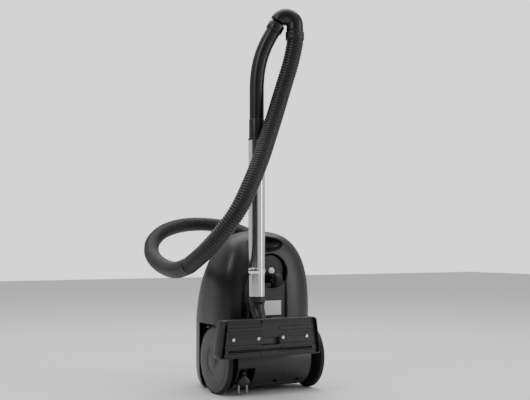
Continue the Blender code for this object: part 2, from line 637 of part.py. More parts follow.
def make_lid_seal():
    """Soft frame under the lid, round the edge of the bag chamber."""
    outer = box("lid_seal", (-0.095, 0.0905, 0.158), (0.095, 0.0935, 0.224), "rubber", bevel=0.001,
                segments=1)
    cut(outer, box("seal_window", (-0.090, 0.080, 0.163), (0.090, 0.100, 0.219)))


def make_label():
    """Blank rating plate on the underside."""
    box("rating_label", (-0.018, -0.0418, 0.1655), (0.023, -0.0413, 0.196), "white")


def make_plug():
    """Mains plug parked with its two pins down, and the length of cord between it and the reel."""
    def section(z, half_x, half_y):
        corner = 0.35
        shape = ((1, corner), (corner, 1), (-corner, 1), (-1, corner), (-1, -corner), (-corner, -1),
                 (corner, -1), (1, -corner))
        return [Vector((PLUG_X + half_x * a, PLUG_Y + half_y * b, z)) for a, b in shape]
    rings = [section(0.0215, 0.0160, 0.0075), section(0.0250, 0.0170, 0.0085),
             section(0.0340, 0.0150, 0.0085),
             section(0.0420, 0.0070, 0.0070), section(0.0440, 0.0048, 0.0048),
             section(0.0520, 0.0042, 0.0042)]
    plug = put("mains_plug", rings_bm(rings), "dark")
    for side, name in ((-1, "left"), (1, "right")):
        pin = [(0.0028, 0.0), (0.0028, 0.0014), (0.0042, 0.0024), (0.0235, 0.0024), (0.0235, 0.0)]
        join(plug, turned("plug_pin_" + name, (PLUG_X + side * PIN_SPACING / 2, PLUG_Y, 0), Z_AXIS, pin,
                          sides=12))
    start = Vector((PLUG_X, PLUG_Y, 0.0520 + GAP))
    route = [start] + bezier((PLUG_X, PLUG_Y, 0.062), (PLUG_X, PLUG_Y, 0.086), (-0.058, -0.0112, 0.084),
                             (-0.058, -0.0112, 0.108), 8)
    cord("cord_stub", route, 0.0033, 2)


def cord(name, route, radius, resolution):
    """A round cord or hose: a poly curve with a round bevel and closed ends."""
    curve = bpy.data.curves.new(name, "CURVE")
    curve.dimensions = "3D"
    curve.bevel_depth = radius
    curve.bevel_resolution = resolution
    curve.render_resolution_u = 0
    curve.use_fill_caps = True
    line = curve.splines.new("POLY")
    line.points.add(len(route) - 1)
    for point, place in zip(line.points, route):
        point.co = (*place, 1.0)
    obj = bpy.data.objects.new(name, curve)
    bpy.context.scene.collection.objects.link(obj)
    curve.materials.append(own_material(name, "dark"))
    return obj


# ---- wand ----
def make_wand():
    """Chrome outer tube with its bead ring, the guide bush in its top, and the inner tube that slides in it."""
    at = (TUBE_X, TUBE_Y, 0)
    bead = [(BEAD_Z + 0.006 * math.cos(math.pi * i / 6), TUBE_R + 0.0016 * math.sin(math.pi * i / 6))
            for i in range(7)]
    outside = [(TUBE_TOP - 0.0020, TUBE_R)] + bead + [(TUBE_BOTTOM, TUBE_R)]
    inside = [(TUBE_BOTTOM, TUBE_R - 0.0009), (TUBE_TOP - 0.0020, TUBE_R - 0.0009)]
    turned("outer_tube", at, Z_AXIS, outside + inside + outside[:1], "chrome", sides=24)
    bush = [(TUBE_TOP - 0.0017, 0.0160), (TUBE_TOP - 0.0017, 0.0183), (TUBE_TOP, 0.0183),
            (TUBE_TOP, INNER_R + GAP),
            (TUBE_TOP - 0.030, INNER_R + GAP), (TUBE_TOP - 0.030, 0.0160), (TUBE_TOP - 0.0017, 0.0160)]
    turned("tube_bush", at, Z_AXIS, bush, "grey", sides=20)
    pipe("inner_tube", at, Z_AXIS, 0.262, TUBE_TOP + 0.040, INNER_R - 0.001, INNER_R, "chrome", sides=20)


def side_point(sideways, z):
    """A point in the plane in which the handle bends over."""
    return Vector((TUBE_X, TUBE_Y, 0)) + BEND_DIR * sideways + Z_AXIS * z


COLLAR_DIR = (BEND_DIR * 0.480 + Z_AXIS * 0.877).normalized()


def make_handle():
    """Bent handle tube with its collar, the air slider, the telescope's lock button and the elbow cuff."""
    bottom = TUBE_TOP + GAP
    rise = bezier(side_point(0, 0.640), side_point(0.0, 0.700), side_point(0.0150, 0.734),
                  side_point(0.0345, 0.7665), 6)
    path = [side_point(0, bottom), side_point(0, 0.5790), side_point(0, 0.5800)] + rise
    collar_end = side_point(0.0430, 0.7832)
    path += [rise[-1] + COLLAR_DIR * 0.0005, collar_end]
    radii = [0.0163, 0.0163, HANDLE_R] + [HANDLE_R] * len(rise) + [0.0178, 0.0178]
    inner = [INNER_R + GAP, INNER_R + GAP, 0.0130] + [0.0130] * len(rise) + [0.0130, 0.0130]
    handle = swept("handle_tube", path, radii, "dark", inner=inner, sides=18)
    cut(handle, box("slider_slot", (TUBE_X - 0.0042, TUBE_Y + 0.008, 0.606),
                    (TUBE_X + 0.0042, TUBE_Y + 0.030, 0.634)))
    cut(handle, box("lock_slot", (TUBE_X - 0.0058, TUBE_Y + 0.010, LOCK_Z[0] - LOCK_TRAVEL - GAP),
                    (TUBE_X + 0.0058, TUBE_Y + 0.030, LOCK_Z[1] + GAP)))
    box("air_slider", (TUBE_X - 0.0038, TUBE_Y + 0.0135, 0.6064), (TUBE_X + 0.0038, TUBE_Y + 0.0190, 0.6214),
        "grey", bevel=0.0008, segments=1)
    box("lock_button", (TUBE_X - 0.0055, TUBE_Y + INNER_R + 0.0006, LOCK_Z[0]),
        (TUBE_X + 0.0055, TUBE_Y + INNER_R + 0.0045, LOCK_Z[1]), "grey", bevel=0.0008, segments=1)
    arc = []
    first = math.atan2(0.480, -0.877)
    for i in range(8):
        t = first * (1 - i / 7)
        arc.append(side_point(ELBOW_PIVOT[0] + ELBOW_RADIUS * math.cos(t),
                              ELBOW_PIVOT[1] + ELBOW_RADIUS * math.sin(t)))
    spigot = [arc[0] - COLLAR_DIR * 0.016, arc[0] - COLLAR_DIR * 0.0008, arc[0] - COLLAR_DIR * 0.0004]
    foot = [arc[-1] - Z_AXIS * 0.0135]
    radii = [0.0126, 0.0126, 0.0176] + [0.0180] * len(arc) + [0.0182]
    inner = [0.0105, 0.0105, 0.0105] + [0.0150] * (len(arc) + 1)
    swept("elbow_cuff", spigot + arc + foot, radii, "dark", inner=inner, sides=18)
    top = arc[-1] - Z_AXIS * (0.0135 + GAP)
    pipe("upper_cuff", top, -Z_AXIS, 0.0, 0.0170, HOSE_R + 0.0009, 0.0200, "dark", sides=22)


# ---- floor head ----
def head_outline(inset):
    """Trapezium (x, z) of the floor head with rounded corners."""
    corners = ((HEAD_X - HEAD_HALF_BOTTOM + inset, HEAD_BOTTOM + inset),
               (HEAD_X + HEAD_HALF_BOTTOM - inset, HEAD_BOTTOM + inset),
               (HEAD_X + HEAD_HALF_TOP - inset, HEAD_TOP - inset),
               (HEAD_X - HEAD_HALF_TOP + inset, HEAD_TOP - inset))
    starts = (180, 270, 0, 90)
    radius = 0.007 - inset * 0.5
    points = []
    for (x, z), start in zip(corners, starts):
        sx = 1 if start in (180, 90) else -1
        sz = 1 if start in (180, 270) else -1
        for i in range(4):
            t = math.radians(start + 30 * i)
            points.append((x + sx * radius + radius * math.cos(t), z + sz * radius + radius * math.sin(t)))
    return points


def outline_rings(outlines):
    """Rings for (outline, y) pairs in the x-z plane."""
    return [[Vector((x, y, z)) for x, z in outline] for outline, y in outlines]


def make_head():
    """Floor head parked with its sole facing out: shell, sole plate, screws, axle, brushes and pedal."""
    shell = put("head_shell", rings_bm(outline_rings((
        (head_outline(0.0), SOLE_Y + 0.001), (head_outline(0.0), HEAD_BACK_Y - 0.008),
        (head_outline(0.003), HEAD_BACK_Y - 0.002), (head_outline(0.008), HEAD_BACK_Y)))), "dark")
    cut(shell, put("head_hollow", rings_bm(outline_rings((
        (head_outline(0.0025), SOLE_Y - 0.010), (head_outline(0.0025), HEAD_BACK_Y - 0.0095),
        (head_outline(0.0090), HEAD_BACK_Y - 0.0030))))))
    join(shell, box("axle_block", (TUBE_X - 0.026, -0.1125, HEAD_AXLE_Z - 0.013),
                    (TUBE_X + 0.026, HEAD_BACK_Y - 0.0020, HEAD_TOP - 0.001)))
    cut(shell, box("neck_notch", (TUBE_X - 0.0190, -0.1110, HEAD_AXLE_Z - 0.017),
                   (TUBE_X + 0.0190, -0.080, 0.180)))
    cut(shell, rod("head_axle_hole", (TUBE_X, HEAD_AXLE_Y, HEAD_AXLE_Z), X_AXIS, -0.0235, 0.0235, 0.0033,
                   sides=16))
    cut(shell, box("pedal_window", (PEDAL_X - 0.0283, -0.110, 0.0977), (PEDAL_X + 0.0283, -0.080, 0.1253)))
    make_sole()
    for i, x in enumerate(SCREW_X):
        head = [(-0.0002, 0.0), (-0.0002, 0.0030), (0.0010, 0.0037), (0.0022, 0.0037), (0.0022, 0.0)]
        turned("sole_screw_%d" % (i + 1), (x, SOLE_Y + 0.0006, SCREW_Z), Y_AXIS, head, "steel", sides=14)
    rod("head_axle", (TUBE_X, HEAD_AXLE_Y, HEAD_AXLE_Z), X_AXIS, -0.0230, 0.0230, 0.0030, "steel", sides=16)
    frame = box("brush_strips", (HEAD_X - 0.100, -0.1160, 0.1010), (HEAD_X + 0.100, -0.1135, 0.1290), "grey")
    cut(frame, box("brush_window", (HEAD_X - 0.092, -0.120, 0.1050), (HEAD_X + 0.092, -0.110, 0.1250)))
    join(frame, box("bristles", (HEAD_X - 0.096, -0.1265, 0.1016), (HEAD_X + 0.096, -0.1140, 0.1044)))
    box("head_pedal", (PEDAL_X - 0.028, -0.1020, 0.0980), (PEDAL_X + 0.028, HEAD_BACK_Y + 0.0022, 0.1250),
        "grey",
        bevel=0.0012, segments=1)


def make_sole():
    """Sole plate: stepped ribs left and right of a smooth middle, with the suction mouth and a brush slot."""
    steps = ((0.0918, 0.0), (0.0940, 0.0012), (0.0975, 0.0012), (0.0990, 0.0), (0.1085, 0.0),
             (0.1100, 0.0016),
             (0.1150, 0.0016), (0.1165, 0.0006), (0.1290, 0.0006), (0.1305, 0.0018), (0.1395, 0.0018),
             (0.1410, 0.0006), (0.1500, 0.0006), (0.1515, 0.0020), (0.1560, 0.0020), (0.1575, 0.0032),
             (0.1626, 0.0032))
    front = [(SOLE_Y + y, z) for z, y in steps]
    back = [(SOLE_Y + 0.0055, 0.1626), (SOLE_Y + 0.0055, 0.0918)]
    plate = prism("sole_plate", front + back, "X", HEAD_X - 0.1035, HEAD_X + 0.1035, "dark")
    cut(plate, box("sole_middle", (MOUTH[0][0], SOLE_Y - 0.010, 0.0990),
                   (MOUTH[0][1], SOLE_Y + 0.0022, 0.1600),
                   bevel=0.001, segments=1))
    cut(plate, box("sole_mouth", (MOUTH[0][0], SOLE_Y - 0.010, MOUTH[1][0]),
                   (MOUTH[0][1], SOLE_Y + 0.020, MOUTH[1][1])))
    cut(plate, box("brush_slot", (HEAD_X - 0.098, SOLE_Y - 0.010, 0.1010),
                   (HEAD_X + 0.098, SOLE_Y + 0.020, 0.1050)))
    for i, x in enumerate(SCREW_X):
        cut(plate, rod("screw_seat_%d" % i, (x, SOLE_Y, SCREW_Z), Y_AXIS, -0.010, 0.0031, 0.0040, sides=18))


def make_neck():
    """Neck between the tube and the floor head, with the hook that parks the wand on the canister."""
    profile = [(0.250, 0.0), (0.250, 0.0150), (TUBE_BOTTOM - GAP, 0.0158), (TUBE_BOTTOM - 0.001, 0.0186),
               (0.197, 0.0186), (0.190, 0.0160), (0.190, 0.0)]
    neck = turned("head_neck", (TUBE_X, TUBE_Y, 0), Z_AXIS, profile, "dark", sides=22)
    bend = bezier((TUBE_X, TUBE_Y, 0.200), (TUBE_X, TUBE_Y, 0.176), (TUBE_X, HEAD_AXLE_Y + 0.008, 0.172),
                  (TUBE_X, HEAD_AXLE_Y, HEAD_AXLE_Z), 6)
    join(neck, swept("neck_bend", bend, [0.0155, 0.0152, 0.0148, 0.0140, 0.0130, 0.0120, 0.0100], sides=20))
    join(neck, rod("neck_barrel", (TUBE_X, HEAD_AXLE_Y, HEAD_AXLE_Z), X_AXIS, -0.0170, 0.0170, 0.0115,
                   sides=24))
    join(neck, box("hook_arm", (TUBE_X - 0.006, -0.070, 0.184), (TUBE_X + 0.006, -0.0500, 0.194)))
    join(neck, box("hook_tongue", (TUBE_X - 0.006, -0.0570, 0.160), (TUBE_X + 0.006, -0.0500, 0.190)))
    cut(neck, rod("barrel_hole", (TUBE_X, HEAD_AXLE_Y, HEAD_AXLE_Z), X_AXIS, -0.025, 0.025, 0.0033, sides=16))
    socket = box("park_socket", (TUBE_X - 0.011, -0.0610, 0.1500), (TUBE_X + 0.011, -0.0413, 0.1740), "dark",
                 bevel=0.001, segments=1)
    cut(socket, box("socket_slot", (TUBE_X - 0.0066, -0.0576, 0.140), (TUBE_X + 0.0066, -0.0494, 0.180)))


def make_hose():
    """The two lengths of the hose, which meet at a rib."""
    lower = [Vector(p) / 1000 for p in HOSE_LOWER_ROUTE]
    upper = [Vector(p) / 1000 for p in HOSE_UPPER_ROUTE]
    meeting = upper[0]
    along = (upper[1] - lower[-2]).normalized()
    lower = through(lower, 1)[:-1] + [meeting - along * 0.006, meeting - along * GAP]
    upper = [meeting, meeting + along * 0.006] + through(upper, 1)[1:]
    lower.insert(1, lower[0] + HOSE_DIR * 0.010)
    upper.insert(-1, upper[-1] - Z_AXIS * 0.015)
    cord("hose_lower", lower, HOSE_R, 2)
    cord("hose_upper", upper, HOSE_R, 2)


# ---- joint origins and the shared frame ----
def crown_point(x, z):
    return (x, CASE_MID_Y + CASE_HIGH, z)


JOINT_POINTS = {
    (0, HINGE_Y, HINGE_Z): ("lid", "lid_seal"),
    tuple(LATCH_AT): ("lid_latch",),
    crown_point(*BUTTONS["power_button"]): ("power_button",),
    crown_point(*BUTTONS["rewind_button"]): ("rewind_button",),
    crown_point(0, KNOB_Z): ("suction_knob",),
    (-WHEEL_OUT, 0, WHEEL_R): ("left_wheel", "left_tyre"),
    (WHEEL_OUT, 0, WHEEL_R): ("right_wheel", "right_tyre"),
    (CASTOR_X, WELL_FLOOR_Y, CASTOR_Z): ("castor_disc", "castor_axle"),
    ROLLER_AT: ("castor_roller",),
    tuple(MOTOR_AT + Z_AXIS * 0.127): ("motor_fan",),
    ((REEL_LEFT + REEL_RIGHT) / 2, REEL_Y, REEL_Z): ("cord_reel", "cord_winding"),
    tuple(HOSE_START): ("lower_cuff",),
    (TUBE_X, TUBE_Y, TUBE_BOTTOM): ("outer_tube", "tube_bush", "head_neck"),
    (TUBE_X, HEAD_AXLE_Y, HEAD_AXLE_Z): ("head_shell", "sole_plate", "sole_screw_1", "sole_screw_2",
                                         "sole_screw_3", "sole_screw_4", "head_axle"),
    (PEDAL_X, -0.100, 0.1115): ("head_pedal",),
    (HEAD_X, -0.1150, 0.1150): ("brush_strips",),
    (TUBE_X, TUBE_Y, TUBE_TOP): ("handle_tube", "inner_tube", "elbow_cuff", "hose_upper"),
    (TUBE_X, TUBE_Y + 0.016, 0.614): ("air_slider",),
    (TUBE_X, TUBE_Y + 0.017, 0.562): ("lock_button",),
    tuple(Vector(HOSE_UPPER_ROUTE[-1]) / 1000): ("upper_cuff",),
}


def set_joint_origins():
    """Put the origin of each moving piece on the axis that it turns about or slides along."""
    for point, nodes in JOINT_POINTS.items():
        for node in nodes:
            obj = bpy.data.objects[node]
            obj.data.transform(Matrix.Translation(-Vector(point)))
            obj.location = point


def move_to_foot():
    """Make the middle of the rear foot's underside the origin of the whole."""
    for obj in bpy.context.scene.objects:
        obj.location.y -= sum(FOOT_Y) / 2


make_lower_casing()
make_front_cover()
make_lid()
make_rear_cover()
make_rear_drum()
make_rear_foot()
make_wheels()
make_castor()
make_motor()
make_reel()
make_bag()
make_inlet()
make_controls()
make_lid_seal()
make_label()
make_plug()
make_wand()
make_handle()
make_head()
make_neck()
make_hose()
set_joint_origins()
move_to_foot()
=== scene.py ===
"""Finished surfaces and materials of a canister vacuum cleaner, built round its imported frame.

Lengths are in metres. Shapes are drawn with y = 0 on the line of the two big wheels' axles, and `solid` moves
them into the frame, whose own y = 0 is the middle of the rear foot.
"""

import json
import math

import bmesh
import bpy
import numpy as np
from mathutils import Matrix, Vector

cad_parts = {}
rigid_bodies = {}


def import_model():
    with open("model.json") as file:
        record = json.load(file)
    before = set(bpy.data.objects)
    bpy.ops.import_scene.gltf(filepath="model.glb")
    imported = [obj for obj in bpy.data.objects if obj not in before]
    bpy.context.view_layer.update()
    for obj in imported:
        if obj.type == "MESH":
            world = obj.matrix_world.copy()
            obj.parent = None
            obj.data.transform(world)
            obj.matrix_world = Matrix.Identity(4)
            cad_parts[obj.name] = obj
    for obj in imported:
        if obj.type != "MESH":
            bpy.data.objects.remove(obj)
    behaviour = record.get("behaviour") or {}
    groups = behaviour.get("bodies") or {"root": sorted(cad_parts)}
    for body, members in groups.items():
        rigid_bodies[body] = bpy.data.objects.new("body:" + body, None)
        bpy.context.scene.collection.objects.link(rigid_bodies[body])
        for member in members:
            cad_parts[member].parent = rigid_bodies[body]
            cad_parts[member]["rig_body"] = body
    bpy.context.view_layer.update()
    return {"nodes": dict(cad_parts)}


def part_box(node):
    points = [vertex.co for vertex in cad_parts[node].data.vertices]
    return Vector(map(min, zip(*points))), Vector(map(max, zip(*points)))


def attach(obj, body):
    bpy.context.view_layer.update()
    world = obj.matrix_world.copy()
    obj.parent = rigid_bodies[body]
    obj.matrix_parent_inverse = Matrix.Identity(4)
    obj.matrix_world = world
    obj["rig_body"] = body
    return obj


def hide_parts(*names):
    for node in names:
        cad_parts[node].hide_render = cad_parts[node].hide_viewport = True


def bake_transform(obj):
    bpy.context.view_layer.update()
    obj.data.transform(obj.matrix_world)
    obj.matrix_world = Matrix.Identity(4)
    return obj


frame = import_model()

bl_info = {
    "name": "Canister Vacuum Cleaner",
    "version": (1, 0, 0),
    "blender": (4, 5, 0),
    "location": "3D View > Sidebar > Cleaner",
    "description": "Builds the finished surfaces of a standing canister vacuum cleaner round its frame",
    "category": "Add Mesh",
}

NODES = frame["nodes"]


def low(node):
    return np.array(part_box(node)[0])


def high(node):
    return np.array(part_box(node)[1])


def middle(node):
    return (low(node) + high(node)) / 2


AXLE_LINE = np.array((0.0, middle("left_tyre")[1], 0.0))
X, Y, Z = np.eye(3)

# ---- driving sizes ----
WHEEL_R = middle("left_tyre")[2]
CASE_MID_Y, CASE_LOW, CASE_HIGH = 0.035, 0.081, 0.135
CASE_HALF_WIDTH = high("lower_casing")[0]
NOSE_Z = 0.346
LOW_SHOULDER_Z, HIGH_SHOULDER_Z = 0.170, 0.150
LOW_POWER, HIGH_POWER = 2.75, 1.3
SEAM_SHARE = 0.36
WALL = 0.0026
EDGE = 0.0008
REAR_Z, LID_END_Z = 0.150, 0.262
FRONT_FLAT_Z = 0.2635
CHANNEL = ((-0.080, 0.034), (0.130, 0.322), -0.0410)      # x span, z span, floor
WELL_AT, WELL_R, WELL_FLOOR_Y = (0.002, 0.260), 0.0365, -0.024
GRIP_AT, GRIP_SIZE, GRIP_TILT = (-0.003, -0.025, 0.3195), (0.044, 0.034, 0.0185), math.radians(-12)
DRUM_R, DRUM_LEFT, DRUM_RIGHT = 0.062, -0.092, 0.088
TUBE_X, TUBE_Y = -0.056, -0.076
TUBE_R, INNER_R, HANDLE_R = 0.0175, 0.0150, 0.0155
TUBE_BOTTOM, TUBE_TOP, BEAD_Z = 0.209, 0.537, 0.262
HEAD_X, HEAD_TOP, HEAD_BOTTOM = -0.050, 0.166, 0.089
HEAD_HALF_TOP, HEAD_HALF_BOTTOM = 0.1095, 0.1195
SOLE_Y, HEAD_BACK_Y = -0.128, -0.095
AXLE_AT = np.array((TUBE_X, -0.098, 0.147))
SCREW_Z, SCREW_X = 0.1264, (-0.1355, -0.0785, -0.0215, 0.0355)
MOUTH_X, MOUTH_Z = (-0.0725, -0.0280), (0.1130, 0.1270)
INLET_AT = np.array((0.0, 0.0997, 0.285))
INLET_DIR = np.array((0.0, 0.792, 0.610)) / np.hypot(0.792, 0.610)
HOSE_START = np.array((0.055, 0.150, 0.300))
HOSE_DIR = np.array((0.796, 0.597, 0.0995)) / np.linalg.norm((0.796, 0.597, 0.0995))
ELBOW_RADIUS, ELBOW_SIDE, ELBOW_Z = 0.0186, 0.062, 0.779
BEND_DIR = np.array((0.873, -0.488, 0.0)) / np.hypot(0.873, 0.488)
HINGE = np.array((0.0, 0.1735, 0.1545))
LID_REACH = 0.1232
FILTER_PORT_AT, FILTER_PORT_R = (0.035, 0.02, 0.1475), 0.036
LATCH_AT, LATCH_TILT = np.array((0.0, 0.1245, 0.2480)), math.radians(39)
BUTTONS = {"power_button": (-0.055, 0.112), "rewind_button": (0.055, 0.112)}
KNOB_Z = 0.114
PLUG_AT = np.array((-0.0695, -0.040, 0.0))
PIN_SPACING = 0.019

HOSE_LOWER_ROUTE = np.array((
    (0.055, 0.150, 0.300), (0.063, 0.156, 0.301), (0.095, 0.191, 0.309), (0.114, 0.242, 0.326),
    (0.109, 0.296, 0.345), (0.079, 0.343, 0.361), (0.032, 0.374, 0.368), (-0.025, 0.384, 0.364),
    (-0.079, 0.371, 0.348), (-0.119, 0.339, 0.323), (-0.142, 0.292, 0.299), (-0.157, 0.238, 0.284),
    (-0.169, 0.182, 0.274), (-0.179, 0.125, 0.267), (-0.188, 0.068, 0.263), (-0.195, 0.011, 0.264),
    (-0.196, -0.046, 0.274),
))
HOSE_UPPER_ROUTE = np.array((
    (-0.196, -0.046, 0.274), (-0.185, -0.095, 0.302), (-0.164, -0.132, 0.341), (-0.136, -0.149, 0.388),
    (-0.108, -0.147, 0.439), (-0.079, -0.134, 0.488), (-0.053, -0.119, 0.537), (-0.030, -0.110, 0.589),
    (-0.010, -0.107, 0.644), (0.006, -0.112, 0.699), (0.0143, -0.1153, 0.741), (0.0147, -0.1155, 0.756),
))


# ---- mesh helpers ----
def skin(grid, close_rows=False, close_cols=True, caps=()):
    """A grid of points (rows, columns, 3) as (points, corners, face sizes): each cell is one four-sided face, and
    caps lists the end rows, 0 or -1, that one face closes."""
    rows, cols = grid.shape[:2]
    index = np.arange(rows * cols).reshape(rows, cols)
    rings = {0: index[0], -1: index[-1, ::-1]}
    if close_cols:
        index = np.concatenate([index, index[:, :1]], axis=1)
    if close_rows:
        index = np.concatenate([index, index[:1]], axis=0)
    cells = np.stack([index[:-1, :-1], index[1:, :-1], index[1:, 1:], index[:-1, 1:]], axis=-1)
    corners = np.concatenate([cells.ravel()] + [rings[end] for end in caps])
    sizes = np.concatenate([np.full(cells.size // 4, 4)] + [np.array([cols]) for _ in caps]).astype(int)
    return grid.reshape(-1, 3), corners, sizes


def solid(name, *skins, outward=True):
    """One object over several skins: points are moved by the axle line, doubles merged and normals turned out."""
    mesh = bpy.data.meshes.new(name)
    points = np.concatenate([s[0] for s in skins]) + AXLE_LINE
    starts = np.cumsum([0] + [len(s[0]) for s in skins])
    corners = np.concatenate([s[1] + start for s, start in zip(skins, starts)])
    sizes = np.concatenate([s[2] for s in skins])
    mesh.vertices.add(len(points))
    mesh.vertices.foreach_set("co", points.ravel().astype(np.float32))
    mesh.loops.add(len(corners))
    mesh.loops.foreach_set("vertex_index", corners.astype(np.int32))
    mesh.polygons.add(len(sizes))
    mesh.polygons.foreach_set("loop_start", np.concatenate([[0], np.cumsum(sizes)[:-1]]).astype(np.int32))
    mesh.update(calc_edges=True)
    mesh.validate()
    work = bmesh.new()
    work.from_mesh(mesh)
    bmesh.ops.remove_doubles(work, verts=work.verts, dist=2e-6)
    if outward:
        bmesh.ops.recalc_face_normals(work, faces=work.faces)
    work.to_mesh(mesh)
    work.free()
    mesh.shade_smooth()
    obj = bpy.data.objects.new(name, mesh)
    bpy.context.scene.collection.objects.link(obj)
    return obj


def baked(obj, sharp=None):
    """The object with its modifiers made real, and edges over an angle shaded sharp."""
    bpy.context.view_layer.update()
    graph = bpy.context.evaluated_depsgraph_get()
    mesh = bpy.data.meshes.new_from_object(obj.evaluated_get(graph), depsgraph=graph)
    obj.modifiers.clear()
    obj.data = mesh
    mesh.shade_smooth()
    if sharp is not None:
        mesh.set_sharp_from_angle(angle=math.radians(sharp))
    return obj


def walled(obj, thickness=WALL, edge=EDGE, offset=-1.0):
    """A wall put behind an open skin, and its rim rounded."""
    wall = obj.modifiers.new("wall", "SOLIDIFY")
    wall.thickness = thickness
    wall.offset = offset
    if edge:
        rim = obj.modifiers.new("rim", "BEVEL")
        rim.width = edge
        rim.segments = 2
        rim.limit_method = "ANGLE"
        rim.angle_limit = math.radians(55)
    return baked(obj)


def carve(obj, cutters, operation="DIFFERENCE", sharp=35):
    """An exact Boolean with each cutter in turn; the cutters are used up."""
    for cutter in cutters:
        step = obj.modifiers.new("carve", "BOOLEAN")
        step.operation = operation
        step.solver = "EXACT"
        step.object = cutter
    baked(obj, sharp)
    for cutter in cutters:
        bpy.data.objects.remove(cutter)
    return obj


def place(obj, finish, *nodes, body=None):
    """Give a piece its material and body, and let it stand for the frame's nodes."""
    obj.data.materials.clear()
    obj.data.materials.append(bpy.data.materials[finish])
    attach(obj, body or NODES[nodes[0]]["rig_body"])
    if nodes:
        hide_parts(*nodes)
    return obj


def unit(v):
    v = np.asarray(v, float)
    return v / np.linalg.norm(v, axis=-1, keepdims=True)


def fillet(points, radius, steps=4, closed=False):
    """A polyline with rounded corners. A corner P becomes the curve (1-t)^2 A + 2t(1-t) P + t^2 B between a point
    A before it and B after it, each up to the radius away, with one more point just outside each to hold the flats."""
    points = np.asarray(points, float)
    to_a = np.roll(points, 1, axis=0) - points
    to_b = np.roll(points, -1, axis=0) - points
    size_a = np.linalg.norm(to_a, axis=1, keepdims=True)
    size_b = np.linalg.norm(to_b, axis=1, keepdims=True)
    a = points + to_a / size_a * np.minimum(radius, 0.40 * size_a)
    b = points + to_b / size_b * np.minimum(radius, 0.40 * size_b)
    t = np.linspace(0, 1, steps + 1)[None, :, None]
    curve = (1 - t) ** 2 * a[:, None] + 2 * t * (1 - t) * points[:, None] + t * t * b[:, None]
    outer = [(points + (a - points) * 1.15)[:, None], curve, (points + (b - points) * 1.15)[:, None]]
    rounded = np.concatenate(outer, axis=1)
    if closed:
        return rounded.reshape(-1, points.shape[1])
    return np.concatenate([points[:1], rounded[1:-1].reshape(-1, points.shape[1]), points[-1:]])


def across(axis):
    """Two unit vectors square to an axis and to each other."""
    axis = unit(axis)
    side = unit(np.cross(axis, X if abs(axis[0]) < 0.9 else Y))
    return side, np.cross(axis, side)


def turned(origin, axis, profile, sides=72, radius=0.0005, steps=4, closed=False):
    """A profile of (distance along the axis, radius) with rounded corners, carried round the axis:
    point = origin + s axis + r (cos a, sin a) in the plane across the axis."""
    profile = fillet(profile, radius, steps, closed) if radius else np.asarray(profile, float)
    u, v = across(axis)
    turn = np.linspace(0, 2 * np.pi, sides, endpoint=False)
    ring = np.cos(turn)[:, None] * u + np.sin(turn)[:, None] * v
    grid = np.asarray(origin) + profile[:, :1, None] * unit(axis) + profile[:, 1:, None] * ring[None]
    return skin(grid, close_rows=closed)


def pipe(origin, axis, start, end, inner, outer, sides=72, radius=0.0006):
    """A round pipe with rounded lips."""
    return turned(origin, axis, [(start, outer), (end, outer), (end, inner), (start, inner)], sides, radius,
                  closed=True)


def along(path, outer, inner=None, side=(0, 0, 1), sides=48, caps=True):
    """A round tube along a path: each ring lies across the path's direction, turned so that no ring twists
    against a fixed side vector; with an inner radius its wall is closed at both ends."""
    path = np.asarray(path, float)
    ahead = unit(np.gradient(path, axis=0))
    u = unit(np.cross(ahead, side))
    v = np.cross(ahead, u)
    turn = np.linspace(0, 2 * np.pi, sides, endpoint=False)[None, :, None]
    ring = np.cos(turn) * u[:, None] + np.sin(turn) * v[:, None]
    outside = path[:, None] + ring * np.broadcast_to(outer, len(path))[:, None, None]
    if inner is None:
        return skin(outside, caps=(0, -1) if caps else ())
    inside = path[:, None] + ring * np.broadcast_to(inner, len(path))[:, None, None]
    return skin(np.concatenate([outside, inside[::-1]]), close_rows=True)


def smooth_path(points, spacing):
    """A Catmull-Rom curve through the points, then equal steps along its length."""
    points = np.asarray(points, float)
    ends = np.concatenate([[2 * points[0] - points[1]], points, [2 * points[-1] - points[-2]]])
    p0, p1, p2, p3 = ends[:-3, None], ends[1:-2, None], ends[2:-1, None], ends[3:, None]
    t = np.linspace(0, 1, 24, endpoint=False)[None, :, None]
    curve = 0.5 * (2 * p1 + (p2 - p0) * t + (2 * p0 - 5 * p1 + 4 * p2 - p3) * t ** 2
                   + (3 * p1 - p0 - 3 * p2 + p3) * t ** 3)
    curve = np.concatenate([curve.reshape(-1, 3), points[-1:]])
    run = np.concatenate([[0], np.cumsum(np.linalg.norm(np.diff(curve, axis=0), axis=1))])
    stops = np.linspace(0, run[-1], int(run[-1] / spacing) + 1)
    return np.stack([np.interp(stops, run, curve[:, k]) for k in range(3)], axis=1), stops


def bezier(a, b, c, d, steps):
    """Points on a cubic Bezier curve."""
    t = np.linspace(0, 1, steps)[:, None]
    s = 1 - t
    return s ** 3 * np.asarray(a) + 3 * s * s * t * np.asarray(b) + 3 * s * t * t * np.asarray(c) + t ** 3 * np.asarray(d)


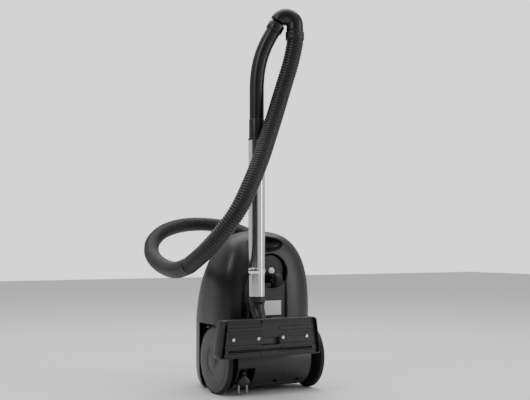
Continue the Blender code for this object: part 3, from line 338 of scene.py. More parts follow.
def block(low_corner, high_corner, radius=0.001, steps=3, tilt=0.0):
    """A rounded box: a sphere of the rounding radius pushed out to the eight corners, with flat faces between;
    tilt turns it about X through its middle."""
    low_corner, high_corner = np.asarray(low_corner, float), np.asarray(high_corner, float)
    half = (high_corner - low_corner) / 2
    radius = min(radius, half.min() * 0.98)
    quarter = np.linspace(0, np.pi / 2, steps + 1)
    around = np.concatenate([quarter + k * np.pi / 2 for k in range(4)])
    sign_x = np.repeat((1, -1, -1, 1), steps + 1)
    sign_y = np.repeat((1, 1, -1, -1), steps + 1)
    lift = np.concatenate([quarter - np.pi / 2, quarter])[:, None]
    sign_z = np.repeat((-1, 1), steps + 1)[:, None]
    flat = np.ones_like(lift)
    grid = np.stack([radius * np.cos(lift) * np.cos(around) + flat * sign_x * (half[0] - radius),
                     radius * np.cos(lift) * np.sin(around) + flat * sign_y * (half[1] - radius),
                     radius * np.sin(lift) * np.ones_like(around) + sign_z * (half[2] - radius)], axis=-1)
    if tilt:
        c, s = math.cos(tilt), math.sin(tilt)
        grid = grid @ np.array(((1, 0, 0), (0, c, s), (0, -s, c)))
    return skin(grid + (low_corner + high_corner) / 2, caps=(0, -1))


def ease(t):
    """0 below 0, 1 above 1, and 3t^2 - 2t^3 between."""
    t = np.clip(t, 0, 1)
    return t * t * (3 - 2 * t)


def soft_max(a, b, blend):
    """The larger of two heights, with a rounded change-over about as wide as the blend."""
    return (a + b + np.sqrt((a - b) ** 2 + blend ** 2)) / 2


# ---- shader groups ----
def new_group(name, inputs, outputs):
    """A shader node group with a vector input, number inputs with defaults, and number outputs."""
    group = bpy.data.node_groups.new(name, "ShaderNodeTree")
    group.interface.new_socket("Vector", in_out="INPUT", socket_type="NodeSocketVector")
    for label, value in inputs.items():
        group.interface.new_socket(label, in_out="INPUT", socket_type="NodeSocketFloat").default_value = value
    for label in outputs:
        group.interface.new_socket(label, in_out="OUTPUT", socket_type="NodeSocketFloat")
    return group, group.nodes.new("NodeGroupInput"), group.nodes.new("NodeGroupOutput")


def add(tree, kind, links=(), **settings):
    """A node with settings, and links given as (input socket, output socket or value)."""
    node = tree.nodes.new(kind)
    for key, value in settings.items():
        setattr(node, key, value)
    for socket, source in links:
        if isinstance(source, bpy.types.NodeSocket):
            tree.links.new(node.inputs[socket], source)
        else:
            node.inputs[socket].default_value = source
    return node


def build_groups():
    """Grain: two sizes of noise as height and tone. Scuff: stretched thin scratches and broad rub marks.
    Dust: noise kept to surfaces that face up."""
    group, given, out = new_group("moulded_grain", {"Scale": 900.0, "Tone Scale": 14.0}, ("Height", "Tone"))
    fine = add(group, "ShaderNodeTexNoise", [("Vector", given.outputs["Vector"]), ("Scale", given.outputs["Scale"]),
                                             ("Detail", 3.0)])
    broad = add(group, "ShaderNodeTexNoise", [("Vector", given.outputs["Vector"]),
                                              ("Scale", given.outputs["Tone Scale"]), ("Detail", 4.0)])
    group.links.new(out.inputs["Height"], fine.outputs["Fac"])
    group.links.new(out.inputs["Tone"], broad.outputs["Fac"])

    group, given, out = new_group("scuffs", {"Scale": 60.0, "Amount": 0.5}, ("Mask",))
    warp = add(group, "ShaderNodeMapping", [("Vector", given.outputs["Vector"]), ("Scale", (1.0, 1.0, 0.12)),
                                            ("Rotation", (0.5, 0.3, 0.2))])
    lines = add(group, "ShaderNodeTexNoise", [("Vector", warp.outputs["Vector"]), ("Scale", given.outputs["Scale"]),
                                              ("Detail", 6.0), ("Roughness", 0.7)])
    rubs = add(group, "ShaderNodeTexNoise", [("Vector", given.outputs["Vector"]), ("Scale", 9.0), ("Detail", 3.0)])
    sharp = add(group, "ShaderNodeMapRange", [("Value", lines.outputs["Fac"]), ("From Min", 0.56),
                                              ("From Max", 0.72)])
    patch = add(group, "ShaderNodeMapRange", [("Value", rubs.outputs["Fac"]), ("From Min", 0.42),
                                              ("From Max", 0.68)])
    both = add(group, "ShaderNodeMath", [(0, sharp.outputs["Result"]), (1, patch.outputs["Result"])],
               operation="MULTIPLY")
    scaled = add(group, "ShaderNodeMath", [(0, both.outputs["Value"]), (1, given.outputs["Amount"])],
                 operation="MULTIPLY")
    group.links.new(out.inputs["Mask"], scaled.outputs["Value"])

    group, given, out = new_group("settled_dust", {"Amount": 0.3}, ("Mask",))
    place_on = add(group, "ShaderNodeNewGeometry")
    facing = add(group, "ShaderNodeSeparateXYZ", [("Vector", place_on.outputs["Normal"])])
    up = add(group, "ShaderNodeMapRange", [("Value", facing.outputs["Z"]), ("From Min", 0.25), ("From Max", 1.0)])
    specks = add(group, "ShaderNodeTexNoise", [("Vector", given.outputs["Vector"]), ("Scale", 45.0),
                                               ("Detail", 8.0)])
    spread = add(group, "ShaderNodeMapRange", [("Value", specks.outputs["Fac"]), ("From Min", 0.35),
                                               ("From Max", 0.75)])
    both = add(group, "ShaderNodeMath", [(0, up.outputs["Result"]), (1, spread.outputs["Result"])],
               operation="MULTIPLY")
    scaled = add(group, "ShaderNodeMath", [(0, both.outputs["Value"]), (1, given.outputs["Amount"])],
                 operation="MULTIPLY")
    group.links.new(out.inputs["Mask"], scaled.outputs["Value"])


DUST_COLOUR = (0.30, 0.29, 0.27, 1.0)


def surface(name, colour, roughness, grain=900.0, depth=0.00004, tone=0.12, scuff=0.25, dust=0.15, metallic=0.0,
            stretch=(1, 1, 1), coat=0.0, tint=None, rough_spread=0.10, tone_scale=14.0):
    """A finish of one substance: its colour drifts between the colour and the tint with broad noise, fine noise
    stands up as grain, scuffs lighten and roughen it, and dust lies where it faces up."""
    mat = bpy.data.materials.new(name)
    mat.use_nodes = True
    tree = mat.node_tree
    shader = tree.nodes["Principled BSDF"]
    shader.inputs["Metallic"].default_value = metallic
    shader.inputs["Coat Weight"].default_value = coat
    shader.inputs["Coat Roughness"].default_value = 0.25
    where = add(tree, "ShaderNodeTexCoord")
    mapped = add(tree, "ShaderNodeMapping", [("Vector", where.outputs["Object"]), ("Scale", stretch)])

    def group_node(group, **values):
        node = add(tree, "ShaderNodeGroup", node_tree=bpy.data.node_groups[group])
        tree.links.new(node.inputs["Vector"], mapped.outputs["Vector"])
        for socket, value in values.items():
            node.inputs[socket.replace("_", " ")].default_value = value
        return node
    grains = group_node("moulded_grain", Scale=grain, Tone_Scale=tone_scale)
    scuffs = group_node("scuffs", Amount=scuff)
    settled = group_node("settled_dust", Amount=dust)
    other = tint or tuple(c * (1 - tone) for c in colour)
    drift = add(tree, "ShaderNodeMix", [("Factor", grains.outputs["Tone"])], data_type="RGBA")
    rubbed = tuple(min(c * 1.8 + 0.02, 1.0) for c in colour)
    worn = add(tree, "ShaderNodeMix", [("Factor", scuffs.outputs["Mask"])], data_type="RGBA")
    dusty = add(tree, "ShaderNodeMix", [("Factor", settled.outputs["Mask"])], data_type="RGBA")
    for node, source in ((worn, drift), (dusty, worn)):
        tree.links.new(next(s for s in node.inputs if s.identifier == "A_Color"),
                       next(s for s in source.outputs if s.identifier == "Result_Color"))
    for node, shade in ((drift, (*other, 1.0)), (worn, (*rubbed, 1.0)), (dusty, DUST_COLOUR)):
        next(s for s in node.inputs if s.identifier == "B_Color").default_value = shade
    next(s for s in drift.inputs if s.identifier == "A_Color").default_value = (*colour, 1.0)
    tree.links.new(shader.inputs["Base Color"], next(s for s in dusty.outputs if s.identifier == "Result_Color"))
    rough = add(tree, "ShaderNodeMath", [(0, grains.outputs["Tone"]), (1, rough_spread),
                                         (2, roughness - rough_spread / 2)],
                operation="MULTIPLY_ADD")
    rougher = add(tree, "ShaderNodeMath", [(0, scuffs.outputs["Mask"]), (1, 0.25), (2, rough.outputs["Value"])],
                  operation="MULTIPLY_ADD")
    dull = add(tree, "ShaderNodeMath", [(0, settled.outputs["Mask"]), (1, 0.4), (2, rougher.outputs["Value"])],
               operation="MULTIPLY_ADD", use_clamp=True)
    tree.links.new(shader.inputs["Roughness"], dull.outputs["Value"])
    bump = add(tree, "ShaderNodeBump", [("Height", grains.outputs["Height"]), ("Distance", depth),
                                        ("Strength", 1.0)])
    tree.links.new(shader.inputs["Normal"], bump.outputs["Normal"])
    return mat


# ---- the casing's outer form ----
def closing(z, shoulder, power):
    """1 up to the shoulder, then (1 - s^power)^(1/power) with s the share of the way to the nose."""
    share = np.clip((z - shoulder) / (NOSE_Z - shoulder), 0, 1)
    return (1 - share ** power) ** (1 / power)


def rear_rounding(z):
    """A quarter circle of 50 mm that takes up to 40 mm off the top at the rear end."""
    return 0.040 * (1 - np.sqrt(1 - (np.clip(0.050 - z, 0, 0.0502) / 0.0505) ** 2))


def top_size(z):
    """Half width and height of the casing above its widest line."""
    rear = rear_rounding(z)
    width = CASE_HALF_WIDTH * closing(z, LOW_SHOULDER_Z, LOW_POWER) - 0.35 * rear
    height = CASE_HIGH * closing(z, HIGH_SHOULDER_Z, HIGH_POWER) - rear
    return np.maximum(width, 0.0015), np.maximum(height, 0.0015)


def casing(z, angle):
    """The outer form in polar terms: at each z the section's radius is (|cos a / width|^n + |sin a / height|^n)^(-1/n)
    about the widest line, with n 3.0 above it and 3.6 below."""
    width, height_up = top_size(z)
    height_down = np.maximum(CASE_LOW * closing(z, LOW_SHOULDER_Z, LOW_POWER), 0.0015)
    above = np.sin(angle) > 0
    height = np.where(above, height_up, height_down)
    power = np.where(above, 3.0, 3.6)
    radius = (np.abs(np.cos(angle) / width) ** power + np.abs(np.sin(angle) / height) ** power) ** (-1 / power)
    return np.stack([radius * np.cos(angle), CASE_MID_Y + radius * np.sin(angle), z * np.ones_like(angle)], axis=-1)


def seam(z):
    """The angle at which the top covers meet the lower casing."""
    width, height = top_size(z)
    return np.arctan2(SEAM_SHARE * height, (1 - SEAM_SHARE ** 3) ** (1 / 3) * width)


def nose_rows(start, straight, curved, stop=0.9992):
    """z values: even steps up to the shoulder, then even turns of the superellipse that closes the nose."""
    turn = np.linspace(0, np.pi / 2, curved)[1:]
    share = np.sin(turn) / (np.sin(turn) ** LOW_POWER + np.cos(turn) ** LOW_POWER) ** (1 / LOW_POWER)
    share = np.minimum(share, stop)
    return np.concatenate([np.linspace(start, LOW_SHOULDER_Z, straight),
                           LOW_SHOULDER_Z + (NOSE_Z - LOW_SHOULDER_Z) * share])[:, None]


def top_cover(z, columns=96):
    """The part of the form above the seam, over a column of z values."""
    start = seam(z)
    share = np.linspace(0, 1, columns)[None]
    return casing(z, start + (np.pi - 2 * start) * share)


def parting(columns=96):
    """The z at which each column of the lid meets the front cover: an arc about the hinge pin, found by putting each
    answer back in as the next guess."""
    z = np.full((1, columns), LID_END_Z)
    for _ in range(30):
        drop = HINGE[1] - top_cover(z, columns)[..., 1]
        z = (z + HINGE[2] + np.sqrt(LID_REACH ** 2 - drop ** 2)) / 2
    return z


def underside(z):
    """The part below the seam, with columns close together over the flat, then pressed in: the tube channel, the
    castor's well and the hand grip are each a floor that the skin rises to where it lies inside their outline."""
    flat = np.arctan(np.linspace(-0.097, 0.097, 166) / CASE_LOW) - np.pi / 2
    share = np.linspace(0, 1, 30)[None]
    start = seam(z)
    right = flat[-1] + (start - flat[-1]) * share[:, 1:]
    left = -np.pi - right[:, ::-1]
    angle = np.concatenate([left, np.broadcast_to(flat, (len(z), len(flat))), right], axis=1)
    grid = casing(z, angle)
    x, y, height = grid[..., 0], grid[..., 1], grid[..., 2]
    (x0, x1), (z0, z1), floor = CHANNEL
    inside = np.minimum(np.minimum(x - x0, x1 - x), np.minimum(height - z0, z1 - height))
    y = y + np.maximum(floor - y, 0) * ease(inside / 0.004 + 0.5)
    from_well = np.hypot(x - WELL_AT[0], height - WELL_AT[1])
    y = y + np.maximum(WELL_FLOOR_Y - y, 0) * ease((WELL_R - from_well) / 0.0026 + 0.4)
    c, s = math.cos(GRIP_TILT), math.sin(GRIP_TILT)
    a, b, d = GRIP_SIZE
    dx, dz = (x - GRIP_AT[0]) / a, height - GRIP_AT[2]
    square = (c / b) ** 2 + (s / d) ** 2
    linear = 2 * dz * c * s * (1 / b ** 2 - 1 / d ** 2)
    rest = dx ** 2 + (dz * s / b) ** 2 + (dz * c / d) ** 2 - 1
    under_root = linear ** 2 - 4 * square * rest
    top = GRIP_AT[1] + (-linear + np.sqrt(np.maximum(under_root, 0))) / (2 * square)
    down = np.sin(angle) < 0
    scooped = soft_max(y, np.where(under_root > 0, top, -1.0), 0.0022) - 0.0
    grid[..., 1] = np.where(down & (scooped > y + 1e-6) & (under_root > 0), scooped, y)
    return grid


# ---- settings ----
def colour_property(name, description, value):
    return bpy.props.FloatVectorProperty(name=name, description=description, default=value, subtype="COLOR",
                                         size=3, min=0.0, max=1.0)


class CleanerShape(bpy.types.PropertyGroup):
    """Sizes a user would change."""
    rib_pitch: bpy.props.FloatProperty(
        name="Rib pitch", description="Distance from one rib of the hose to the next", default=0.0058,
        min=0.004, max=0.010, unit="LENGTH")
    rib_depth: bpy.props.FloatProperty(
        name="Rib depth", description="Depth of the grooves between the ribs", default=0.0021, min=0.0,
        max=0.003, unit="LENGTH")
    hose_radius: bpy.props.FloatProperty(
        name="Hose radius", description="Radius over the ribs", default=0.018, min=0.016, max=0.020, unit="LENGTH")
    bristle_width: bpy.props.FloatProperty(
        name="Bristle tuft", description="Width of one tuft of the floor head's brush", default=0.0011,
        min=0.0006, max=0.003, unit="LENGTH")


class CleanerColours(bpy.types.PropertyGroup):
    """Colours a user would change."""
    casing: colour_property("Casing", "Moulded casing", (0.0085, 0.0088, 0.0095))
    wheel: colour_property("Wheel", "Wheel discs", (0.034, 0.035, 0.037))
    black: colour_property("Black plastic", "Cuffs, handle and floor head", (0.0055, 0.0055, 0.0060))
    hose: colour_property("Hose", "Ribbed hose", (0.0060, 0.0060, 0.0065))
    rubber: colour_property("Rubber", "Tyres, foot and seals", (0.008, 0.008, 0.008))
    paper: colour_property("Paper", "Dust bag", (0.62, 0.54, 0.42))


def build_finishes():
    """Every substance of the cleaner, once each."""
    c = bpy.context.scene.cleaner_colours
    surface("casing_plastic", c.casing[:], 0.36, grain=1100, depth=0.00003, tone=0.18, scuff=0.30, dust=0.10)
    surface("wheel_plastic", c.wheel[:], 0.46, grain=800, depth=0.00005, tone=0.12, scuff=0.45, dust=0.16)
    surface("black_plastic", c.black[:], 0.34, grain=1200, depth=0.00003, tone=0.20, scuff=0.25, dust=0.08)
    surface("sole_plastic", (0.0065, 0.0065, 0.0060), 0.36, grain=900, depth=0.00004, tone=0.20, scuff=0.85,
            dust=0.10)
    surface("hose_plastic", c.hose[:], 0.38, grain=700, depth=0.00003, tone=0.25, scuff=0.20, dust=0.12)
    surface("button_plastic", (0.030, 0.031, 0.033), 0.40, grain=1000, depth=0.00003, scuff=0.20, dust=0.12)
    surface("soft_rubber", c.rubber[:], 0.78, grain=500, depth=0.00010, tone=0.25, scuff=0.55, dust=0.30)
    surface("plated_tube", (0.78, 0.79, 0.81), 0.09, grain=350, depth=0.000004, tone=0.05, scuff=0.20, dust=0.03,
            metallic=1.0, stretch=(1, 1, 0.03), rough_spread=0.05)
    surface("bright_steel", (0.66, 0.67, 0.68), 0.22, grain=600, depth=0.00002, tone=0.10, scuff=0.30, dust=0.03,
            metallic=1.0, rough_spread=0.12)
    surface("motor_steel", (0.42, 0.43, 0.44), 0.38, grain=500, depth=0.00006, tone=0.20, scuff=0.60, dust=0.25,
            metallic=1.0)
    surface("white_nylon", (0.78, 0.78, 0.76), 0.42, grain=900, depth=0.00003, tone=0.08, scuff=0.10, dust=0.05)
    surface("label_film", (0.80, 0.80, 0.78), 0.48, grain=1500, depth=0.00001, tone=0.06, scuff=0.15, dust=0.05)
    surface("filter_felt", (0.72, 0.72, 0.70), 0.95, grain=1400, depth=0.00025, tone=0.22, scuff=0.0, dust=0.40,
            tone_scale=40)
    surface("bag_paper", c.paper[:], 0.88, grain=420, depth=0.00012, tone=0.16, scuff=0.10, dust=0.30,
            stretch=(1, 1, 0.5), tone_scale=30)
    surface("bristle_fibre", (0.030, 0.030, 0.030), 0.60, grain=1800, depth=0.00020, tone=0.35, scuff=0.0,
            dust=0.20,
            stretch=(1, 0.1, 1))
    surface("wound_cord", (0.020, 0.020, 0.021), 0.52, grain=300, depth=0.00040, tone=0.30, scuff=0.20, dust=0.12,
            stretch=(1, 0.15, 0.15))
    surface("pin_brass", (0.32, 0.31, 0.30), 0.30, grain=600, depth=0.00001, tone=0.10, scuff=0.30, dust=0.03,
            metallic=1.0)
    surface("studio_floor", (0.93, 0.93, 0.93), 0.60, grain=60, depth=0.00002, tone=0.02, scuff=0.0, dust=0.0)


# ---- operators ----
class Step:
    """What every operator of this file shares."""
    bl_options = {"REGISTER", "UNDO"}


def soft_light(name, at, towards, width, height, power):
    """A rectangular area lamp turned towards a point."""
    lamp = bpy.data.lights.new(name, "AREA")
    lamp.shape = "RECTANGLE"
    lamp.size, lamp.size_y, lamp.energy = width, height, power
    obj = bpy.data.objects.new(name, lamp)
    bpy.context.scene.collection.objects.link(obj)
    obj.location = at
    obj.rotation_euler = (Vector(towards) - Vector(at)).to_track_quat("-Z", "Y").to_euler()


class CLEANER_OT_stage(Step, bpy.types.Operator):
    """Camera, pale floor, pale background and soft lamps"""
    bl_idname = "cleaner.stage"
    bl_label = "Stage"

    def execute(self, context):
        camera = bpy.data.cameras.new("camera")
        camera.sensor_width, camera.lens = 36.0, 61.8
        viewer = bpy.data.objects.new("camera", camera)
        context.scene.collection.objects.link(viewer)
        viewer.location = Vector((-0.9707, -1.7486, 0.320)) + Vector(AXLE_LINE)
        turn, rise = math.radians(29.2), math.radians(2.7)
        ahead = Vector((math.sin(turn) * math.cos(rise), math.cos(turn) * math.cos(rise), math.sin(rise)))
        viewer.rotation_euler = ahead.to_track_quat("-Z", "Y").to_euler()
        context.scene.camera = viewer

        span = np.linspace(-6.0, 6.0, 3)
        ground = np.stack([*np.meshgrid(span, span, indexing="ij"), np.zeros((3, 3))], axis=-1)
        floor = solid("floor", skin(ground, close_cols=False), outward=False)
        floor.data.materials.append(bpy.data.materials["studio_floor"])
        world = bpy.data.worlds.new("pale_room")
        world.use_nodes = True
        tree = world.node_tree
        backdrop = tree.nodes["Background"]
        backdrop.inputs["Color"].default_value = (1.0, 1.0, 1.0, 1.0)
        backdrop.inputs["Strength"].default_value = 1.6
        room = tree.nodes.new("ShaderNodeBackground")
        room.inputs["Color"].default_value = (1.0, 1.0, 1.0, 1.0)
        around = add(tree, "ShaderNodeTexCoord")
        towards = add(tree, "ShaderNodeVectorMath", [(0, around.outputs["Generated"]), (1, (-0.81, -0.58, 0.0))],
                      operation="DOT_PRODUCT")
        level = add(tree, "ShaderNodeMapRange", [("Value", towards.outputs["Value"]), ("From Min", 0.60),
                                                 ("From Max", 0.88), ("To Min", 0.62), ("To Max", 0.04)])
        tree.links.new(level.outputs["Result"], room.inputs["Strength"])
        seen = tree.nodes.new("ShaderNodeLightPath")
        either = tree.nodes.new("ShaderNodeMixShader")
        tree.links.new(seen.outputs["Is Camera Ray"], either.inputs["Fac"])
        tree.links.new(room.outputs[0], either.inputs[1])
        tree.links.new(backdrop.outputs[0], either.inputs[2])
        tree.links.new(either.outputs[0], tree.nodes["World Output"].inputs["Surface"])
        context.scene.world = world
        soft_light("key", (-1.9, -0.9, 1.6), (0, -0.1, 0.35), 0.5, 1.4, 13)
        soft_light("side", (1.3, -1.5, 0.8), (0, -0.1, 0.35), 0.20, 1.8, 9)
        soft_light("top", (0.2, 0.5, 2.2), (0, 0, 0.2), 2.4, 2.0, 34)
        return {"FINISHED"}


class CLEANER_OT_hose(Step, bpy.types.Operator):
    """Ribbed hose in two lengths: a round tube whose radius dips in a narrow groove once per rib"""
    bl_idname = "cleaner.hose"
    bl_label = "Hose"

    def execute(self, context):
        shape = context.scene.cleaner_shape
        paths = {"lower": HOSE_LOWER_ROUTE, "upper": HOSE_UPPER_ROUTE}
        sides = {"lower": Z, "upper": X}
        for name, route in paths.items():
            path, run = smooth_path(route, shape.rib_pitch / 8)
            groove = np.cos(np.pi * run / shape.rib_pitch) ** 8
            radius = shape.hose_radius - shape.rib_depth * groove
            hose = solid("hose_" + name + "_ribs", along(path, radius, side=sides[name], sides=26))
            hose.data.materials.append(bpy.data.materials["hose_plastic"])
            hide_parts("hose_" + name)
            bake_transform(hose)
        return {"FINISHED"}


class CLEANER_OT_casing(Step, bpy.types.Operator):
    """Lower casing with its channel, castor well and grip, and the three covers above the seam"""
    bl_idname = "cleaner.casing"
    bl_label = "Casing"

    def execute(self, context):
        rows = nose_rows(REAR_Z - 0.0045, 19, 62)
        fine = np.concatenate([np.linspace(REAR_Z - 0.0045, 0.326, 132)[:, None], rows[rows[:, 0] > 0.3272]])
        under = solid("underside_shell", skin(underside(fine), close_cols=False, caps=()), outward=False)
        place(walled(turn_out(under)), "casing_plastic", "lower_casing")

        for name, form, back, front in (("chamber_wall", underside, REAR_Z - 0.0045, REAR_Z - 0.0015),
                                        ("rear_cover_wall", top_cover, REAR_Z - 0.0030, REAR_Z - 0.0006)):
            outline = form(np.full((1, 1), front))[0]
            outline[:, :2] = outline[:, :2].mean(axis=0) + 0.990 * (outline[:, :2] - outline[:, :2].mean(axis=0))
            plate = np.stack([outline, outline])
            plate[0, :, 2], plate[1, :, 2] = back, front
            wall = solid(name, skin(plate, caps=(0, -1)))
            port = solid(name + "_port", turned(FILTER_PORT_AT, Z, [(-0.02, 0), (-0.02, FILTER_PORT_R),
                                                                   (0.02, FILTER_PORT_R), (0.02, 0)], 64, 0))
            place(carve(wall, [port]), "casing_plastic", body="canister")

        nose = nose_rows(LID_END_Z, 2, 70)
        nose = nose[nose[:, 0] > FRONT_FLAT_Z + 0.0012]
        meet = parting()
        share = np.linspace(0, 1, 30)[:, None]
        flank = meet + 0.0003 + (FRONT_FLAT_Z - meet - 0.0003) * share
        front = np.concatenate([flank, np.broadcast_to(nose, (len(nose), flank.shape[1]))])
        cover = walled(turn_out(solid("front_shell", skin(top_cover(front), close_cols=False), outward=False)))
        carve(cover, [solid("inlet_opening", turned(INLET_AT, INLET_DIR,
                                                    [(-0.05, 0), (-0.05, 0.0208), (0.03, 0.0208),
                                                                         (0.03, 0)], 64, 0))])
        place(cover, "casing_plastic", "front_cover")

        share = np.linspace(0, 1, 60)[:, None]
        middle_rows = REAR_Z + 0.0003 + (meet - REAR_Z - 0.0003) * share
        lid = walled(turn_out(solid("lid_shell", skin(top_cover(middle_rows), close_cols=False), outward=False)))
        tools = [solid("latch_opening", block(LATCH_AT - (0.0154, 0.02, 0.0074), LATCH_AT + (0.0154, 0.02, 0.0074),
                                              0.0008, tilt=LATCH_TILT)),
                 solid("knuckle_relief", block(HINGE - (0.0122, 0.0053, 0.012), HINGE + (0.0122, 0.02, 0.0060),
                                               0.0006)),
                 solid("holder_relief", turned(INLET_AT, INLET_DIR, [(-0.06, 0), (-0.06, 0.0212), (0.03, 0.0212),
                                                                    (0.03, 0)], 48, 0))]
        place(carve(lid, tools), "casing_plastic", "lid")
        for side in (-1, 1):
            reach = np.array((side * 0.020, 0, 0))
            ear = solid("lid_ear_" + ("left" if side < 0 else "right"),
                        block(HINGE + reach - (0.008, 0.0060, 0.0030), HINGE + reach + (0.008, 0.0028, 0.0043),
                              0.0022))
            place(ear, "casing_plastic", body="lid")

        z = np.concatenate([0.006 + 0.044 * (1 - np.cos(np.linspace(0, np.pi / 2, 34))),
                            np.linspace(0.054, REAR_Z - 0.0003, 26)])[:, None]
        skin_rows = top_cover(z)
        first = skin_rows[:1]
        centre = np.array((0.0, CASE_MID_Y + SEAM_SHARE * 0.095, 0.006))
        ends = [centre + (first - centre) * share for share in (0.02, 0.5, 0.93, 0.985)]
        rear = solid("rear_shell", skin(np.concatenate(ends + [skin_rows]), close_cols=False), outward=False)
        rear = walled(turn_out(rear))
        tools = [solid(name + "_opening", turned((x, 0, height), Y, [(0.14, 0), (0.14, 0.0143), (0.19, 0.0143),
                                                                    (0.19, 0)], 48, 0))
                 for name, (x, height) in BUTTONS.items()]
        tools.append(solid("grille_opening", block((-0.0403, 0.150, 0.0497), (0.0403, 0.190, 0.0823), 0.0010)))
        place(carve(rear, tools), "casing_plastic", "rear_cover")
        knuckle = solid("hinge_knuckle", turned(HINGE, X, [(-0.0115, 0), (-0.0115, 0.005), (0.0115, 0.005),
                                                           (0.0115, 0)],
                                                40, 0.0008),
                        block(HINGE - (0.0115, 0.0043, 0.0145), HINGE + (0.0115, 0.0040, -0.0015), 0.0015))
        place(knuckle, "casing_plastic", body="canister")
        pin = solid("hinge_pin", turned(HINGE, X, [(-0.0275, 0), (-0.0275, 0.002), (0.0275, 0.002), (0.0275, 0)],
                                        24))
        place(pin, "bright_steel", "lid_hinge_pin")
        return {"FINISHED"}


def turn_out(obj):
    """Turn an open skin so that its faces look away from the casing's inside."""
    mesh = obj.data
    centres = np.zeros(len(mesh.polygons) * 3)
    normals = np.zeros(len(mesh.polygons) * 3)
    mesh.polygons.foreach_get("center", centres)
    mesh.polygons.foreach_get("normal", normals)
    inside = AXLE_LINE + (0, CASE_MID_Y, 0.15)
    away = centres.reshape(-1, 3) - inside
    if (away * normals.reshape(-1, 3)).sum() < 0:
        mesh.flip_normals()
    return obj


class CLEANER_OT_drum(Step, bpy.types.Operator):
    """Round rear housing: its side outline, an arc and two flats, carried across with rounded ends"""
    bl_idname = "cleaner.drum"
    bl_label = "Rear housing and foot"

    def outline(self, inset):
        r, front, top = DRUM_R - inset, REAR_Z - 0.0048, 0.0815 - inset
        turn = np.radians(np.linspace(-90, -230, 71))
        arc = np.stack([r * np.cos(turn), WHEEL_R + r * np.sin(turn)], axis=1)
        rest = np.array(((-0.046 + inset, front - 0.016), (-0.046 + inset, front - inset), (top, front - inset),
                         (top, WHEEL_R - r)))
        return np.concatenate([arc, rest])

    def execute(self, context):
        stations = [(DRUM_LEFT, 0.0035), (DRUM_LEFT + 0.0002, 0.0012), (DRUM_LEFT + 0.0008, 0.0003),
                    (DRUM_LEFT + 0.0020, 0.0), (DRUM_RIGHT - 0.0020, 0.0), (DRUM_RIGHT - 0.0008, 0.0003),
                    (DRUM_RIGHT - 0.0002, 0.0012), (DRUM_RIGHT, 0.0035)]
        grid = np.stack([np.insert(self.outline(inset), 0, x, axis=1) for x, inset in stations])
        drum = solid("drum_housing", skin(grid, caps=(0, -1)))
        tools = [solid("plug_opening", block((-0.0885, -0.080, -0.010), (-0.0500, -0.0255, 0.0580), 0.0025)),
                 solid("cord_opening", turned(PLUG_AT, Z, [(0.05, 0), (0.05, 0.004), (0.07, 0.004), (0.07, 0)],
                                              28, 0))]
        ray = unit((0, -0.66, -0.75))
        for x in (0.007, 0.063):
            tools.append(solid("screw_pocket", turned(np.array((x, 0, WHEEL_R)) + ray * 0.048, ray,
                                                      [(0, 0), (0, 0.0040), (0.014, 0.0052), (0.03, 0.0052),
                                                       (0.03, 0)],
                                                      28, 0)))
        place(carve(drum, tools, sharp=30), "casing_plastic", "rear_drum")
        for x in (0.007, 0.063):
            screw = turned(np.array((x, 0, WHEEL_R)) + ray * 0.048, ray,
                           [(0.0002, 0), (0.0002, 0.0026), (0.0016, 0.0024), (0.0022, 0.0012),
                            (0.0018, 0)], 24, 0.0002)
            place(solid("housing_screw_%d" % (x * 1000), screw), "bright_steel", body="canister")
        mark_lines = []
        for x0, x1, angle0, angle1 in ((-0.012, -0.002, 212, 212.8), (-0.0026, -0.002, 206, 212.8),
                                       (0.012, 0.022, 212, 212.8), (0.0214, 0.022, 206, 212.8)):
            turn = np.radians(np.linspace(angle0, angle1, 6))[:, None]
            across_x = np.linspace(x0, x1, 4)[None]
            raised = DRUM_R + 0.00035
            mark_lines.append(skin(np.stack([across_x + 0 * turn, raised * np.cos(turn) + 0 * across_x,
                                             WHEEL_R + raised * np.sin(turn) + 0 * across_x], axis=-1),
                                   close_cols=False))
        marks = walled(solid("moulded_corner_marks", *mark_lines), 0.0006, 0.0, 0.0)
        place(marks, "casing_plastic", body="canister")
        foot = solid("foot_bar", block(low("rear_foot") - AXLE_LINE, high("rear_foot") - AXLE_LINE, 0.0018))
        place(foot, "soft_rubber", "rear_foot")
        return {"FINISHED"}


class CLEANER_OT_wheels(Step, bpy.types.Operator):
    """Big wheels: stepped, domed discs with raised hubs, plain rounded tyres and stub axles, all turned profiles"""
    bl_idname = "cleaner.wheels"
    bl_label = "Wheels"

    def execute(self, context):
        out, inner, hub = 0.120, 0.1075, 0.0965
        at = (0, 0, WHEEL_R)
        disc = [(out + 0.0022, 0), (out + 0.0021, 0.0100), (out + 0.0010, 0.0135), (out - 0.0010, 0.0150),
                (out - 0.0019, 0.0220), (out - 0.0014, 0.0300), (out - 0.0002, 0.0305), (out + 0.0003, 0.0450),
                (out - 0.0004, 0.0575), (out - 0.0013, 0.0580), (out - 0.0024, 0.0668), (out - 0.0058, 0.0686),
                (inner, 0.0686), (inner, 0.0655), (out - 0.0070, 0.0640), (out - 0.0060, 0.0200), (hub, 0.0140),
                (hub, 0.0063), (0.1125, 0.0063), (0.1125, 0)]
        end = out - 0.0042
        tyre = [(inner, 0.0689), (inner, WHEEL_R), (end, WHEEL_R), (end, 0.0689)]
        axle_ends = {"left": (0.0890, 0.1120), "right": (0.0855, 0.1120)}
        for side, name in ((-1, "left"), (1, "right")):
            axis = X * side
            place(solid(name + "_disc", turned(at, axis, disc, 144, 0.0009)), "wheel_plastic", name + "_wheel")
            place(solid(name + "_tread", turned(at, axis, tyre, 144, 0.0011, closed=True)), "soft_rubber",
                  name + "_tyre")
            start, stop = axle_ends[name]
            axle = turned(at, axis, [(start, 0), (start, 0.006), (stop, 0.006), (stop, 0)], 40)
            place(solid(name + "_stub", axle), "bright_steel", name + "_axle")
        return {"FINISHED"}


